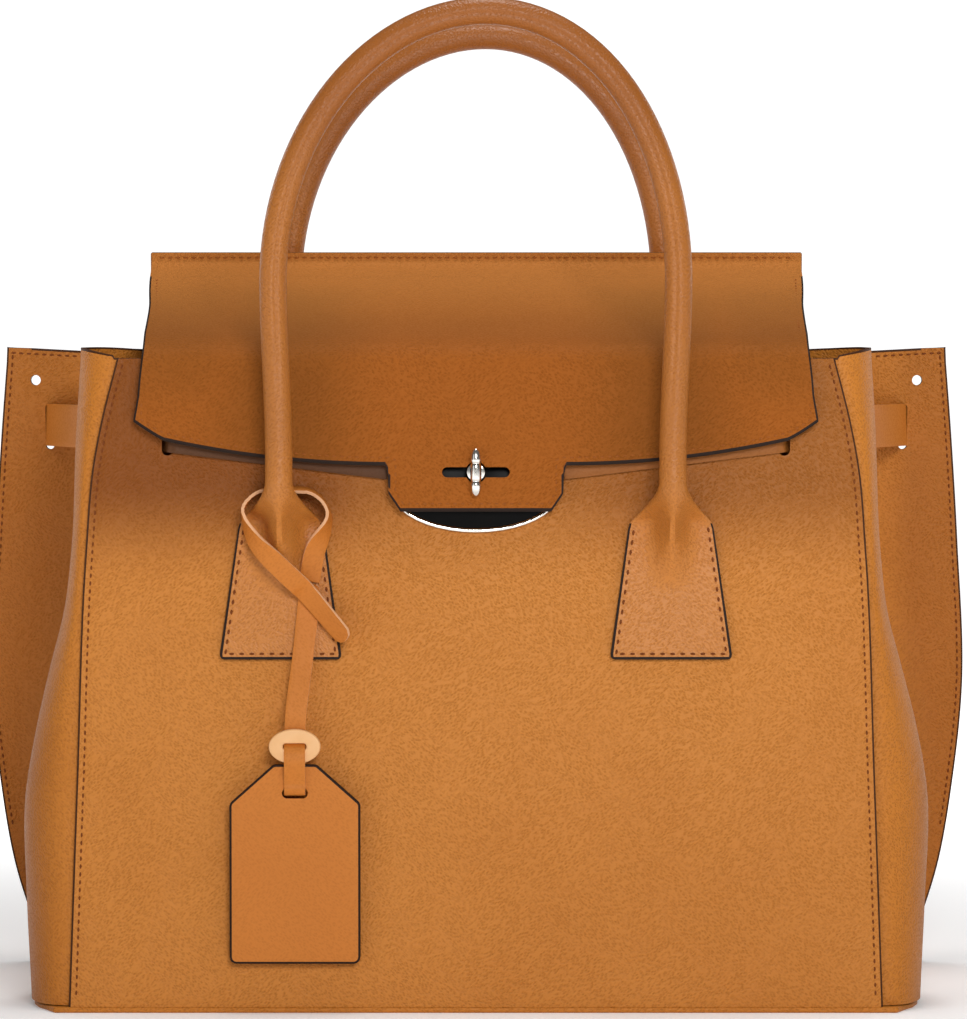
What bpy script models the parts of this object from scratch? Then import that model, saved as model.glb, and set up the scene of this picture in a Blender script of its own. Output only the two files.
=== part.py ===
"""Structured leather handbag with a turn-lock flap, two rolled handles, winged sides and a hanging tag.

Metres, +Z up. The origin is the centre of the underside; the front of the bag faces -Y.
"""
import math

import bmesh
import bpy
import numpy as np
from mathutils import Matrix, Vector

# Driving dimensions of the bag
base_width = 0.332
base_depth = 0.156
front_panel_width = 0.300
wing_width = 0.384
front_height = 0.241
wing_height = 0.242
wing_corner_rise = 0.003
seam_height = 0.282
mouth_front = 0.062
seam_depth = 0.050

# Leather and clearances
panel_thickness = 0.0020
gusset_thickness = 0.0018
base_thickness = 0.0022
lining_thickness = 0.0006
seat_gap = 0.0003
overrun = 0.004

# Side folds and wings
seam_flange = 0.008
seam_turn = 0.001
fold_depth_top = 0.018
fold_depth_base = 0.028
fold_rise = 0.003
valley_half_width = 0.110
wing_flat_top = 0.024
wing_flat_base = 0.002
hole_inset = 0.011
hole_drop = 0.010
hole_radius = 0.0020
wing_slot_inset = 0.018
wing_slot_width = 0.0050
wing_slot_height = 0.0200
round_share = 0.55
reach_share = 0.5

# Shares of the height, and of the widths there
seam_at_shares = (0.0, 0.35, 0.70, 0.84, 0.90, 1.0)
seam_width_shares = (1.0, 0.982, 0.962, 0.943, 0.925, 0.885)
fold_at_shares = (0.0, 0.17, 0.33, 0.43, 0.52, 0.61, 0.70, 0.88, 1.0)
fold_width_shares = (1.0, 1.012, 1.015, 0.990, 0.958, 0.925, 0.910, 0.900, 0.890)
wing_at_shares = (0.0, 0.17, 0.31, 0.45, 0.70, 0.87, 1.0)
wing_width_shares = (0.890, 0.956, 0.984, 1.0, 0.987, 0.972, 0.958)

# Base stiffener and body lining
board_thickness = 0.0020
board_margin = 0.0030
lining_gap = 0.0005
lining_drop = 0.006
lining_front_half_top = 0.104
lining_side_margin = 0.0035
lining_corner_share = 0.22

# Flap: rear part over the mouth, front drop with its tab
flap_half_width = 0.1275
drop_half_width = 0.1285
flap_thickness = 0.0015
flap_lining_thickness = 0.0006
flap_lining_margin = 0.0015
flap_root_clear = 0.009
hinge_strip_height = 0.0075
hinge_drop = 0.006
fold_line_half_gap = 0.00015
drop_stand_off = 0.0043
drop_bend_radius = 0.014
flap_crest_rise = 0.0085
bend_flat_share = 1.35
flap_quarter_shares = (0.24, 0.37)
flap_middle_shares = (0.52, 0.66)
drop_corner_share = 0.09
drop_side_fall = 0.0235
drop_mid_fall = 0.0395
drop_corner_fall = 0.0305
tab_half_width = 0.0325
tab_below_lock = 0.0145
tab_chamfer_drop = 0.0045
tab_chamfer_in = 0.0065
tab_root_radius = 0.003
tab_slot_half_length = 0.0125
tab_slot_half_height = 0.0019
tab_bulge_radius = 0.0040

# Turn lock
lock_fall = 0.0420
lock_plate_half_width = 0.0312
lock_plate_half_height = 0.0155
lock_plate_drop = 0.0070
lock_plate_thickness = 0.0009
lock_rim_width = 0.0013
lock_rim_thickness = 0.0012
lock_back_radius = 0.010
lock_back_thickness = 0.0010
post_radius = 0.0018
post_hole_clear = 0.0004
collar_radius = 0.0034
knob_length = 0.0183
knob_radius = 0.0021
knob_groove_depth = 0.0005
knob_groove_offset = 0.0034
knob_groove_half_width = 0.0004
knob_tip_radius = 0.0009
knob_shoulder_share = 0.6

# Side straps
strap_width = 0.0165
strap_thickness = 0.0012
strap_fall = 0.0265
strap_slit_half = 0.114
strap_slit_width = 0.0042
strap_slit_spare = 0.0025
strap_gusset_slit_width = 0.0034
strap_gusset_x = 0.1345
strap_gusset_y = -0.0245
strap_rear_end = 0.118
strap_lock_end = 0.0045
strap_bend = 0.003
strap_approach_share = 0.72
strap_midway_share = 0.6

# Handles
handle_half_span = 0.0740
handle_foot_half_span = 0.0720
handle_radius = 0.0050
handle_core_radius = 0.0031
handle_wrap_gap = 0.0003
core_tip_share = 0.8
handle_hinge_height = 0.2040
handle_spring_height = 0.2695
handle_arch_height = 0.0980
handle_lean = 0.0035
front_handle_stand_off = 0.0212
rear_handle_stand_off = 0.0100

# Handle feet
foot_thickness = 0.0018
foot_base_level = 0.1300
foot_shoulder_level = 0.1795
foot_base_half = 0.0227
foot_shoulder_half = 0.0156
foot_ridge_level = 0.1460
foot_neck_level = 0.1960
foot_tip_share = 0.2
ridge_spread_share = 1.15
under_rise_share = 1.2
stand_off_power_share = 1.6
neck_power_share = 0.6
tilt_past_level = math.radians(10)

# Luggage tag and its strap
tag_width = 0.0480
tag_foot_level = 0.0187
tag_shoulder_level = 0.0777
tag_top_level = 0.0920
tag_top_half = 0.0079
tag_corner_radius = 0.0025
tag_ply_thickness = 0.0013
tag_centre = -0.0664
tag_back = -0.0792
tag_slot_level = 0.0815
tag_slot_height = 0.0036
tag_strap_width = 0.0077
tag_strap_thickness = 0.0012
tag_slot_spare = 0.0008
tag_pivot_x = -0.0613
tag_pivot_z = 0.1538
tag_loop_width = 0.0310
tag_loop_height = 0.0385
tag_loop_depth = 0.0120
toggle_width = 0.0190
toggle_height = 0.0128
toggle_thickness = 0.0044
toggle_level = 0.0988
toggle_edge_radius = 0.0012

# Route of the hanging strand, as shares of the way from its pivot to the toggle and the slot
strand_high_shares = (0.45, 0.35, 0.4)
strand_low_shares = (0.9, 0.92, 0.8)
strand_flat_share = 0.6
strand_slot_share = 0.35
strand_tip_share = 0.98

# Route of the loop as shares of its width, depth and height, with the strap's width direction
tag_loop_shares = (
    (0.41, 0.50, 0.42, (0.95, 0.3, 0.0)),
    (0.58, 0.56, 0.76, (0.15, 1.0, 0.0)),
    (0.37, 0.44, 0.985, (0.0, 0.5, 0.85)),
    (0.0, 0.44, 1.0, (0.0, 0.0, 1.0)),
    (-0.26, 0.46, 0.985, (0.0, -0.5, 0.85)),
    (-0.44, 0.80, 0.80, (0.0, -1.0, 0.1)),
    (-0.30, 0.95, 0.53, (0.5, -0.7, 0.4)),
    (-0.03, 0.97, 0.30, (0.75, 0.0, 0.65)),
    (0.20, 0.80, 0.12, (0.75, 0.0, 0.65)),
    (0.345, 0.62, 0.0, (0.75, 0.0, 0.65)),
    (0.79, 0.76, -0.42, (0.75, 0.0, 0.65)),
)

# Inner zip pocket
zip_tape_width = 0.170
zip_tape_height = 0.026
zip_tape_level = 0.185
zip_tape_thickness = 0.0007
zip_teeth_height = 0.0040
zip_teeth_thickness = 0.0012
zip_slider_width = 0.0100
zip_slider_height = 0.0080
zip_slider_thickness = 0.0028
zip_travel = 0.140
zip_pull_length = 0.026
zip_pull_width = 0.0060
zip_pull_thickness = 0.0012

# Facet counts, and the angle from which an edge is drawn sharp
crease_angle = math.radians(40)
panel_rows = 12
lining_rows = 7
gusset_rows = 9
arch_steps = 22
tube_sides = 10
core_sides = 6
foot_columns = 13
foot_rows = 11
drop_sag_steps = 6
slot_arc_steps = 6

# Derived places on the front, and the leans of the two large panels
lock_height = front_height - lock_fall
strap_level = front_height - strap_fall
drop_top_level = front_height - drop_bend_radius
drop_side_level = front_height - drop_side_fall
drop_mid_level = front_height - drop_mid_fall
drop_corner_level = front_height - drop_corner_fall
tab_level = lock_height - tab_below_lock
front_slope = (base_depth / 2 - mouth_front) / front_height
back_slope = (base_depth / 2 - seam_depth) / seam_height
front_lean = math.atan(front_slope)
back_lean = math.atan(back_slope)


def clear_scene():
    for item in list(bpy.data.objects):
        bpy.data.objects.remove(item, do_unlink=True)


def srgb(code):
    """Linear colour from a six-digit sRGB code."""
    channels = [int(code[i:i + 2], 16) / 255 for i in (0, 2, 4)]
    return [c / 12.92 if c <= 0.04045 else ((c + 0.055) / 1.055) ** 2.4 for c in channels] + [1.0]


def make_material(name, code, roughness, metallic=0.0):
    material = bpy.data.materials.new(name)
    material.use_nodes = True
    shader = material.node_tree.nodes["Principled BSDF"]
    shader.inputs["Base Color"].default_value = srgb(code)
    shader.inputs["Roughness"].default_value = roughness
    shader.inputs["Metallic"].default_value = metallic
    return material


def finish(name, bm, material, smooth=False, parent=None):
    """Turns a bmesh into a named object with outward faces."""
    bmesh.ops.recalc_face_normals(bm, faces=bm.faces)
    mesh = bpy.data.meshes.new(name)
    bm.to_mesh(mesh)
    bm.free()
    mesh.materials.append(material)
    if smooth:
        mesh.shade_smooth()
        mesh.set_sharp_from_angle(angle=crease_angle)
    item = bpy.data.objects.new(name, mesh)
    bpy.context.scene.collection.objects.link(item)
    if parent is not None:
        item.parent = parent
        item.matrix_parent_inverse = parent.matrix_basis.inverted()
    return item


def make_pivot(name, place):
    """Empty on a joint's axis that carries the moving pieces."""
    pivot = bpy.data.objects.new(name, None)
    pivot.location = place
    bpy.context.scene.collection.objects.link(pivot)
    return pivot


def front_face(z):
    """Depth of the front panel's outer face at a height."""
    return -base_depth / 2 + front_slope * z


def back_face(z):
    """Depth of the back panel's outer face at a height."""
    return base_depth / 2 - back_slope * z


def lookup(share, at_shares, value_shares):
    """Smooth curve through a table of shares."""
    at = np.array(at_shares)
    values = np.array(value_shares)
    slopes = np.gradient(values, at)
    share = min(max(share, at[0]), at[-1])
    i = min(int(np.searchsorted(at, share, side="right")) - 1, len(at) - 2)
    span = at[i + 1] - at[i]
    t = (share - at[i]) / span
    start = values[i] * (1 + 2 * t) * (1 - t) ** 2 + slopes[i] * span * t * (1 - t) ** 2
    end = values[i + 1] * t * t * (3 - 2 * t) + slopes[i + 1] * span * t * t * (t - 1)
    return float(start + end)


def ease(t):
    t = min(max(t, 0.0), 1.0)
    return t * t * (3 - 2 * t)


def blend(a, b, t):
    return a + (b - a) * t


def seam_half(z):
    return front_panel_width / 2 * lookup(z / front_height, seam_at_shares, seam_width_shares)


def fold_half(z):
    return base_width / 2 * lookup(z / wing_height, fold_at_shares, fold_width_shares)


def wing_half(z):
    return wing_width / 2 * lookup(z / wing_height, wing_at_shares, wing_width_shares)


def bezier(p0, p1, p2, p3, steps):
    """Points along a cubic, without its last."""
    found = []
    for i in range(steps):
        t = i / steps
        found.append(
            p0 * (1 - t) ** 3 + p1 * 3 * t * (1 - t) ** 2 + p2 * 3 * t * t * (1 - t) + p3 * t ** 3
        )
    return found


def through(points, steps):
    """Smooth curve through points of any size, by Catmull-Rom spans."""
    rows = [np.array(p, dtype=float) for p in points]
    rows = [2 * rows[0] - rows[1]] + rows + [2 * rows[-1] - rows[-2]]
    found = []
    for a, b, c, d in zip(rows, rows[1:], rows[2:], rows[3:]):
        for i in range(steps):
            t = i / steps
            found.append(
                0.5 * (2 * b + (c - a) * t + (2 * a - 5 * b + 4 * c - d) * t * t
                       + (3 * b - a - 3 * c + d) * t ** 3)
            )
    found.append(rows[-2])
    return found


def gusset_plan(z):
    """Mid-line of a right-hand gusset at a height: flange, fold, valley and wing."""
    front = front_face(z) + panel_thickness + seat_gap + gusset_thickness / 2
    back = back_face(z) - panel_thickness - seat_gap - gusset_thickness / 2
    tuck = ease(z / wing_height)
    seam = seam_half(z)
    fold = fold_half(z) - gusset_thickness / 2
    valley = blend(fold_half(0) - gusset_thickness / 2, valley_half_width, tuck)
    flat = blend(wing_flat_base, wing_flat_top, tuck)
    crest = front + blend(fold_depth_base, fold_depth_top, tuck)
    a = Vector((seam - seam_flange, front))
    b = Vector((seam + seam_turn, front))
    c = Vector((fold, crest))
    d = Vector((valley, 0.0))
    e = Vector((wing_half(z) - flat, back))
    f = Vector((wing_half(z), back))
    points = [a]
    points += bezier(
        b, Vector((blend(b.x, c.x, round_share), b.y)), Vector((c.x, blend(c.y, b.y, round_share))), c, 5
    )
    points += bezier(
        c, Vector((c.x, blend(c.y, d.y, reach_share))), Vector((d.x, blend(d.y, c.y, reach_share))), d, 7
    )
    points += bezier(
        d, Vector((d.x, blend(d.y, e.y, round_share))), Vector((blend(e.x, d.x, round_share), e.y)), e, 7
    )
    points += [e, f]
    return points


def wing_top(x):
    """Height of the top edge of a wing, which rises to its outer corner."""
    rise = (abs(x) - flap_half_width) / (wing_half(wing_height) - flap_half_width)
    return wing_height + wing_corner_rise * min(max(rise, 0.0), 1.0)


def ring_outline(half_x, half_z, count):
    """Oval in the XZ plane."""
    return [
        (half_x * math.cos(2 * math.pi * i / count), half_z * math.sin(2 * math.pi * i / count))
        for i in range(count)
    ]


def stadium(half_x, half_z, steps=6):
    """Slot outline with round ends; the longer half sets the direction."""
    radius = min(half_x, half_z)
    run_x = half_x - radius
    run_z = half_z - radius
    found = []
    for i in range(4 * steps):
        angle = 2 * math.pi * (i + 0.5) / (4 * steps)
        x = radius * math.cos(angle) + math.copysign(run_x, math.cos(angle))
        z = radius * math.sin(angle) + math.copysign(run_z, math.sin(angle))
        found.append((x, z))
    return found


def shifted(outline, x=0.0, z=0.0):
    return [(p[0] + x, p[1] + z) for p in outline]


def rounded(outline, radii, steps=4):
    """Outline with each corner replaced by an arc of its radius."""
    found = []
    count = len(outline)
    for i, radius in enumerate(radii):
        here = Vector(outline[i])
        before = (Vector(outline[i - 1]) - here).normalized()
        after = (Vector(outline[(i + 1) % count]) - here).normalized()
        if radius <= 0:
            found.append(tuple(here))
            continue
        half = before.angle(after) / 2
        centre = here + (before + after).normalized() * (radius / math.sin(half))
        first = here + before * (radius / math.tan(half)) - centre
        last = here + after * (radius / math.tan(half)) - centre
        turn = math.atan2(first.x * last.y - first.y * last.x, first.dot(last))
        for k in range(steps + 1):
            angle = turn * k / steps
            found.append((
                centre.x + first.x * math.cos(angle) - first.y * math.sin(angle),
                centre.y + first.x * math.sin(angle) + first.y * math.cos(angle),
            ))
    return found


def fill_plate(bm, outline, holes, depth=0.0):
    """Flat face in the XZ plane, with holes."""
    edges = []
    for loop in [outline] + list(holes):
        verts = [bm.verts.new((x, depth, z)) for x, z in loop]
        edges += [bm.edges.new((verts[i - 1], verts[i])) for i in range(len(verts))]
    return bmesh.ops.triangle_fill(bm, use_beauty=True, edges=edges)


def extrude_all(bm, offset):
    grown = bmesh.ops.extrude_face_region(bm, geom=bm.faces[:])
    moved = [v for v in grown["geom"] if isinstance(v, bmesh.types.BMVert)]
    bmesh.ops.translate(bm, verts=moved, vec=offset)


def make_plate(name, outline, holes, thickness, material, parent=None):
    """Plate in the XZ plane, from its outer face at y = 0 towards +Y."""
    bm = bmesh.new()
    fill_plate(bm, outline, holes)
    extrude_all(bm, Vector((0.0, thickness, 0.0)))
    return finish(name, bm, material, parent=parent)


def loft(bm, rings, closed_ends=True):
    """Skin over rings of points, each with the same count."""
    rows = [[bm.verts.new(p) for p in ring] for ring in rings]
    count = len(rows[0])
    for low, high in zip(rows, rows[1:]):
        for i in range(count):
            bm.faces.new((low[i - 1], low[i], high[i], high[i - 1]))
    if closed_ends:
        bm.faces.new(rows[0])
        bm.faces.new(rows[-1])
    return rows


def make_ribbon(name, centres, widths, half_widths, thickness, material, parent=None):
    """Flat strap along centres, with its width direction and half width at each."""
    rings = []
    for i, centre in enumerate(centres):
        here = Vector(centre)
        ahead = Vector(centres[min(i + 1, len(centres) - 1)])
        behind = Vector(centres[max(i - 1, 0)])
        along = (ahead - behind).normalized()
        across = Vector(widths[i])
        across = (across - along * across.dot(along)).normalized()
        normal = along.cross(across).normalized()
        side = across * half_widths[i]
        deep = normal * thickness / 2
        rings.append([here + side + deep, here - side + deep, here - side - deep, here + side - deep])
    bm = bmesh.new()
    loft(bm, rings)
    return finish(name, bm, material, parent=parent)


def make_cutter(name, outline, depth, place, turn=0.0):
    """Prism along Y that cuts the pieces it names, left out of the build."""
    bm = bmesh.new()
    fill_plate(bm, outline, [], -depth / 2)
    extrude_all(bm, Vector((0.0, depth, 0.0)))
    bmesh.ops.recalc_face_normals(bm, faces=bm.faces)
    mesh = bpy.data.meshes.new(name)
    bm.to_mesh(mesh)
    bm.free()
    cutter = bpy.data.objects.new(name, mesh)
    bpy.context.scene.collection.objects.link(cutter)
    cutter.location = place
    cutter.rotation_euler.z = turn
    cutter.hide_render = True
    cutter.display_type = "WIRE"
    return cutter


def cut(item, cutter):
    modifier = item.modifiers.new("Cut " + cutter.name, "BOOLEAN")
    modifier.operation = "DIFFERENCE"
    modifier.solver = "EXACT"
    modifier.object = cutter


def thicken(item, thickness, offset=0.0):
    modifier = item.modifiers.new("Leather thickness", "SOLIDIFY")
    modifier.thickness = thickness
    modifier.offset = offset
    modifier.use_even_offset = True


def make_front_panel(leather):
    """Front panel: tilted plate with curved-in sides and a slit for each side strap."""
    stretch = 1 / math.cos(front_lean)
    low = (base_thickness + seat_gap) / front_height
    levels = [blend(low, 1.0, i / panel_rows) * front_height for i in range(panel_rows + 1)]
    right = [(seam_half(z), z * stretch) for z in levels]
    left = [(-x, z) for x, z in reversed(right)]
    slit = stadium(strap_slit_width / 2, strap_width / 2 + strap_slit_spare / 2)
    holes = [shifted(slit, side * strap_slit_half, strap_level * stretch) for side in (-1, 1)]
    bore = ring_outline(post_radius + post_hole_clear, post_radius + post_hole_clear, 16)
    holes.append(shifted(bore, 0.0, lock_height * stretch))
    panel = make_plate("front_panel", right + left, holes, panel_thickness, leather)
    panel.location = (0.0, -base_depth / 2, 0.0)
    panel.rotation_euler.x = -front_lean
    return panel


def make_back_panel(leather):
    """Back panel: widens into the two wings and rises to the top seam."""
    stretch = 1 / math.cos(back_lean)
    low = (base_thickness + seat_gap) / wing_height
    levels = [blend(low, 1.0, i / panel_rows) * wing_height for i in range(panel_rows + 1)]
    right = [(wing_half(z), z * stretch) for z in levels[:-1]]
    corner = wing_half(wing_height)
    right.append((corner, wing_top(corner) * stretch))
    right.append((flap_half_width, wing_top(flap_half_width) * stretch))
    right.append((flap_half_width, seam_height * stretch))
    left = [(-x, z) for x, z in reversed(right)]
    panel = make_plate("back_panel", right + left, [], panel_thickness, leather)
    panel.location = (0.0, base_depth / 2, 0.0)
    panel.rotation_euler.x = back_lean
    panel.scale.y = -1.0
    return panel


def wing_slot_x():
    return wing_half(strap_level) - wing_slot_inset


def make_wing_cutters(side, word):
    """Punched hole and strap slot, through the wing and the back panel behind it."""
    hole_x = side * (wing_half(wing_height) - hole_inset)
    hole_z = wing_height - hole_drop
    depth = panel_thickness + gusset_thickness + 2 * overrun
    hole = make_cutter(
        "hole_cutter_" + word, ring_outline(hole_radius, hole_radius, 16), depth,
        (hole_x, back_face(hole_z) - panel_thickness, hole_z),
    )
    slot = make_cutter(
        "slot_cutter_" + word, stadium(wing_slot_width / 2, wing_slot_height / 2), depth,
        (side * wing_slot_x(), back_face(strap_level) - panel_thickness, strap_level),
    )
    return hole, slot


def strap_turn(side):
    """Heading of a side strap where it crosses the fold, about Z."""
    run_x = wing_slot_x() - strap_gusset_x
    run_y = back_face(strap_level) - strap_gusset_y
    return -side * math.atan2(run_x, run_y)


def make_gusset(side, word, leather, hole, slot):
    """Side gusset: flange behind the front seam, round fold, valley and wing."""
    low = base_thickness + seat_gap
    columns = len(gusset_plan(low))
    bm = bmesh.new()
    grid = []
    for row in range(gusset_rows + 1):
        share = row / gusset_rows
        line = []
        for column in range(columns):
            top = wing_height
            if column < 2:
                top = front_height
            elif column < 13:
                top = wing_height + fold_rise * math.sin(math.pi * (column - 1) / 12)
            elif column > columns - 4:
                top = wing_top(gusset_plan(wing_height)[column].x)
            z = blend(low, top, share)
            spot = gusset_plan(z)[column]
            line.append(bm.verts.new((side * spot.x, spot.y, z)))
        grid.append(line)
    for below, above in zip(grid, grid[1:]):
        for i in range(columns - 1):
            bm.faces.new((below[i], below[i + 1], above[i + 1], above[i]))
    gusset = finish("gusset_" + word, bm, leather, smooth=True)
    thicken(gusset, gusset_thickness)
    slit = make_cutter(
        "fold_slit_cutter_" + word,
        stadium(strap_gusset_slit_width / 2, strap_width / 2 + strap_slit_spare / 2),
        seam_flange + 2 * overrun,
        (side * strap_gusset_x, strap_gusset_y, strap_level),
        strap_turn(side),
    )
    for cutter in (hole, slot, slit):
        cut(gusset, cutter)
    return gusset


def base_outline():
    """Plan of the base: straight front and back, and the gussets' round corners."""
    low = base_thickness + seat_gap
    right = gusset_plan(low)[2:]
    right[0] = Vector((right[0].x, -base_depth / 2))
    right[-1] = Vector((wing_half(low), base_depth / 2))
    return [(-p.x, p.y) for p in reversed(right)] + [(p.x, p.y) for p in right]


def make_base(leather, board):
    """Base leather, and the stiffening board that lies on it inside the walls."""
    bm = bmesh.new()
    bm.faces.new([bm.verts.new((x, y, 0.0)) for x, y in base_outline()])
    extrude_all(bm, Vector((0.0, 0.0, base_thickness)))
    finish("base_panel", bm, leather)
    low = base_thickness + seat_gap
    half_x = fold_half(0) - gusset_thickness - board_margin
    half_y = base_depth / 2 - panel_thickness - gusset_thickness - board_margin
    corners = [(half_x, -half_y), (half_x, half_y), (-half_x, half_y), (-half_x, -half_y)]
    radii = [fold_depth_base, board_margin, board_margin, fold_depth_base]
    bm = bmesh.new()
    bm.faces.new([bm.verts.new((x, y, low)) for x, y in rounded(corners, radii, 6)])
    extrude_all(bm, Vector((0.0, 0.0, board_thickness)))
    finish("base_board", bm, board)


def lining_plan(z):
    """Plan of the body lining: it closes off each front fold and follows the valley and wing."""
    front = front_face(z) + panel_thickness + seat_gap + gusset_thickness + 2 * lining_gap
    back = back_face(z) - panel_thickness - seat_gap - gusset_thickness - 2 * lining_gap
    tuck = ease(z / wing_height)
    inset = gusset_thickness / 2 + lining_side_margin
    valley = blend(fold_half(0), valley_half_width, tuck) - inset
    corner = blend(seam_half(0) - seam_flange, lining_front_half_top, tuck)
    wing_start = wing_half(z) - blend(wing_flat_base, wing_flat_top, tuck)
    outer = blend(valley, wing_start - inset, lining_corner_share)
    a = Vector((corner, front))
    d = Vector((valley, 0.0))
    e = Vector((outer, back))
    points = bezier(
        a, Vector((blend(a.x, d.x, round_share), a.y)), Vector((d.x, blend(d.y, a.y, round_share))), d, 5
    )
    points += bezier(
        d, Vector((d.x, blend(d.y, e.y, round_share))), Vector((blend(e.x, d.x, round_share), e.y)), e, 6
    )
    points.append(e)
    return points


def make_lining(cloth):
    """Open-topped body lining with a floor."""
    floor = base_thickness + board_thickness + 2 * seat_gap + lining_thickness
    top = front_height - lining_drop
    bm = bmesh.new()
    rings = []
    for row in range(lining_rows + 1):
        z = blend(floor, top, row / lining_rows)
        right = lining_plan(z)
        ring = [(p.x, p.y, z) for p in right] + [(-p.x, p.y, z) for p in reversed(right)]
        rings.append(ring)
    rows = loft(bm, rings, closed_ends=False)
    bm.faces.new(rows[0])
    lining = finish("lining", bm, cloth, smooth=True)
    thicken(lining, lining_thickness, -1.0)
    return lining


def hinge_axis():
    """Point on the flap's hinge line, in front of the strip that is sewn to the back panel."""
    z = seam_height - hinge_drop
    y = back_face(seam_height - hinge_strip_height) - panel_thickness - seat_gap
    y -= flap_thickness + seat_gap + flap_thickness / 2
    return Vector((0.0, y, z))


def flap_profile():
    """Places on the flap's mid-line in (y, z), from its root to the top of the straight drop."""
    root = Vector((hinge_axis().y, hinge_axis().z))
    crest = Vector((-mouth_front + drop_bend_radius, front_height + flap_crest_rise))
    quarter, middle = [
        Vector((blend(root.x, crest.x, out_share), blend(root.y, crest.y, fall_share)))
        for out_share, fall_share in (flap_quarter_shares, flap_middle_shares)
    ]
    foot = Vector((front_face(drop_top_level) - drop_stand_off - flap_thickness / 2, drop_top_level))
    return root, quarter, middle, crest, foot


def flap_curve():
    """Flap mid-line points (y, z) from the root to the top of the straight drop."""
    root, quarter, middle, crest, foot = flap_profile()
    points = through([root, quarter, middle, crest], 4)[:-1]
    down = Vector((-front_slope, -1.0)).normalized()
    flat = (Vector(crest) - Vector(middle)).normalized()
    bend = bezier(
        crest, crest + flat * drop_bend_radius * bend_flat_share, foot - down * drop_bend_radius, foot, 8
    )
    return [Vector(p) for p in points] + bend + [foot]


def offset_curve(points, distance):
    """Points moved to their inner side, which faces the bag."""
    found = []
    for i, here in enumerate(points):
        along = (points[min(i + 1, len(points) - 1)] - points[max(i - 1, 0)]).normalized()
        inner = Vector((-along.y, along.x))
        found.append(here + inner * distance)
    return found


def fold_axis():
    """Point on the fold line, on the inner face of the flap's lining."""
    reach = flap_thickness / 2 + seat_gap + flap_lining_thickness
    spot = offset_curve(flap_curve(), reach)[-1]
    return Vector((0.0, spot.x, spot.y))


def shortened(points, end_cut):
    """Polyline with a length taken off its end."""
    last = (points[-2] - points[-1]).normalized()
    return points[:-1] + [points[-1] + last * end_cut]


def make_rear_flap(leather, cloth, parent):
    """Rear part of the flap, from the hinge over the mouth and round the front edge to the fold line."""
    curve = flap_curve()
    points = shortened(curve, fold_line_half_gap)
    across = Vector((1.0, 0.0, 0.0))
    centres = [(0.0, p.x, p.y) for p in points]
    halves = [flap_half_width] * len(centres)
    make_ribbon("flap_rear", centres, [across] * len(centres), halves, flap_thickness, leather, parent)
    depth = flap_thickness / 2 + seat_gap + flap_lining_thickness / 2
    inner = offset_curve(curve, depth)
    start = next(i for i, p in enumerate(inner) if (p - inner[0]).length > flap_root_clear)
    inner = shortened(inner[start:], fold_line_half_gap)
    centres = [(0.0, p.x, p.y) for p in inner]
    halves = [flap_half_width - flap_lining_margin] * len(centres)
    make_ribbon(
        "flap_rear_lining", centres, [across] * len(centres), halves, flap_lining_thickness, cloth, parent
    )


def drop_side(margin):
    """Right side of the drop's outline as (x, height), from its top to the root of the tab."""
    half = drop_half_width - margin
    top = drop_top_level - fold_line_half_gap
    right = [(flap_half_width - margin, top), (half, drop_side_level + margin)]
    for i in range(1, drop_sag_steps + 1):
        t = i / drop_sag_steps
        x = blend(half - drop_half_width * drop_corner_share, tab_half_width + tab_root_radius - margin, t)
        z = blend(drop_corner_level, drop_mid_level, 1 - (1 - t) ** 2) + margin
        right.append((x, z))
    return right


def drop_outline():
    """Outline of the drop's leather, with the tab."""
    right = drop_side(0.0)
    right.append((tab_half_width, drop_mid_level - tab_root_radius))
    right.append((tab_half_width, tab_level + tab_chamfer_in))
    right.append((tab_half_width - tab_chamfer_drop, tab_level))
    return right + [(-x, z) for x, z in reversed(right)]


def drop_lining_outline():
    """Outline of the drop's lining, which stops above the tab's slot."""
    right = drop_side(flap_lining_margin)
    stop_level = lock_height + tab_bulge_radius + flap_lining_margin
    right.append((tab_half_width - flap_lining_margin, stop_level))
    return right + [(-x, z) for x, z in reversed(right)]


def slot_outline():
    """Tab slot: a flat slot with a round bulge for the post's collar."""
    half = tab_slot_half_length
    tall = tab_slot_half_height
    bulge = tab_bulge_radius
    start = math.asin(tall / bulge)
    turns = [i / slot_arc_steps for i in range(slot_arc_steps + 1)]
    arc = [math.pi - start - (math.pi - 2 * start) * turn for turn in turns]
    upper = [(bulge * math.cos(a), bulge * math.sin(a)) for a in arc]
    tip = [
        (half - tall + tall * math.sin(math.pi * turn), tall * math.cos(math.pi * turn)) for turn in turns
    ]
    right_side = upper + tip
    left_side = [(-x, -z) for x, z in right_side]
    return right_side + left_side


def make_drop(name, outline, holes, face_depth, thickness, material, parent):
    """Plate of the straight drop, whose outer face lies a depth in front of the panel's."""
    stretch = 1 / math.cos(front_lean)
    loops = [[(x, z * stretch) for x, z in loop] for loop in [outline] + holes]
    item = make_plate(name, loops[0], loops[1:], thickness, material, parent)
    item.location = (0.0, -base_depth / 2 - face_depth, 0.0)
    item.rotation_euler.x = -front_lean
    return item


def make_hinge_strip(leather):
    """Strip of the flap's root that is sewn flat to the back panel's top edge."""
    z_low = seam_height - hinge_strip_height
    y = back_face(z_low) - panel_thickness - seat_gap - flap_thickness
    outline = [
        (-flap_half_width, z_low), (flap_half_width, z_low),
        (flap_half_width, seam_height), (-flap_half_width, seam_height),
    ]
    strip = make_plate("flap_root_strip", outline, [], flap_thickness, leather)
    strip.location = (0.0, y, 0.0)
    lean = Matrix.Identity(4)
    lean[1][2] = -back_slope
    raised = Matrix.Translation((0.0, 0.0, z_low))
    strip.data.transform(raised @ lean @ raised.inverted())
    return strip


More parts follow.
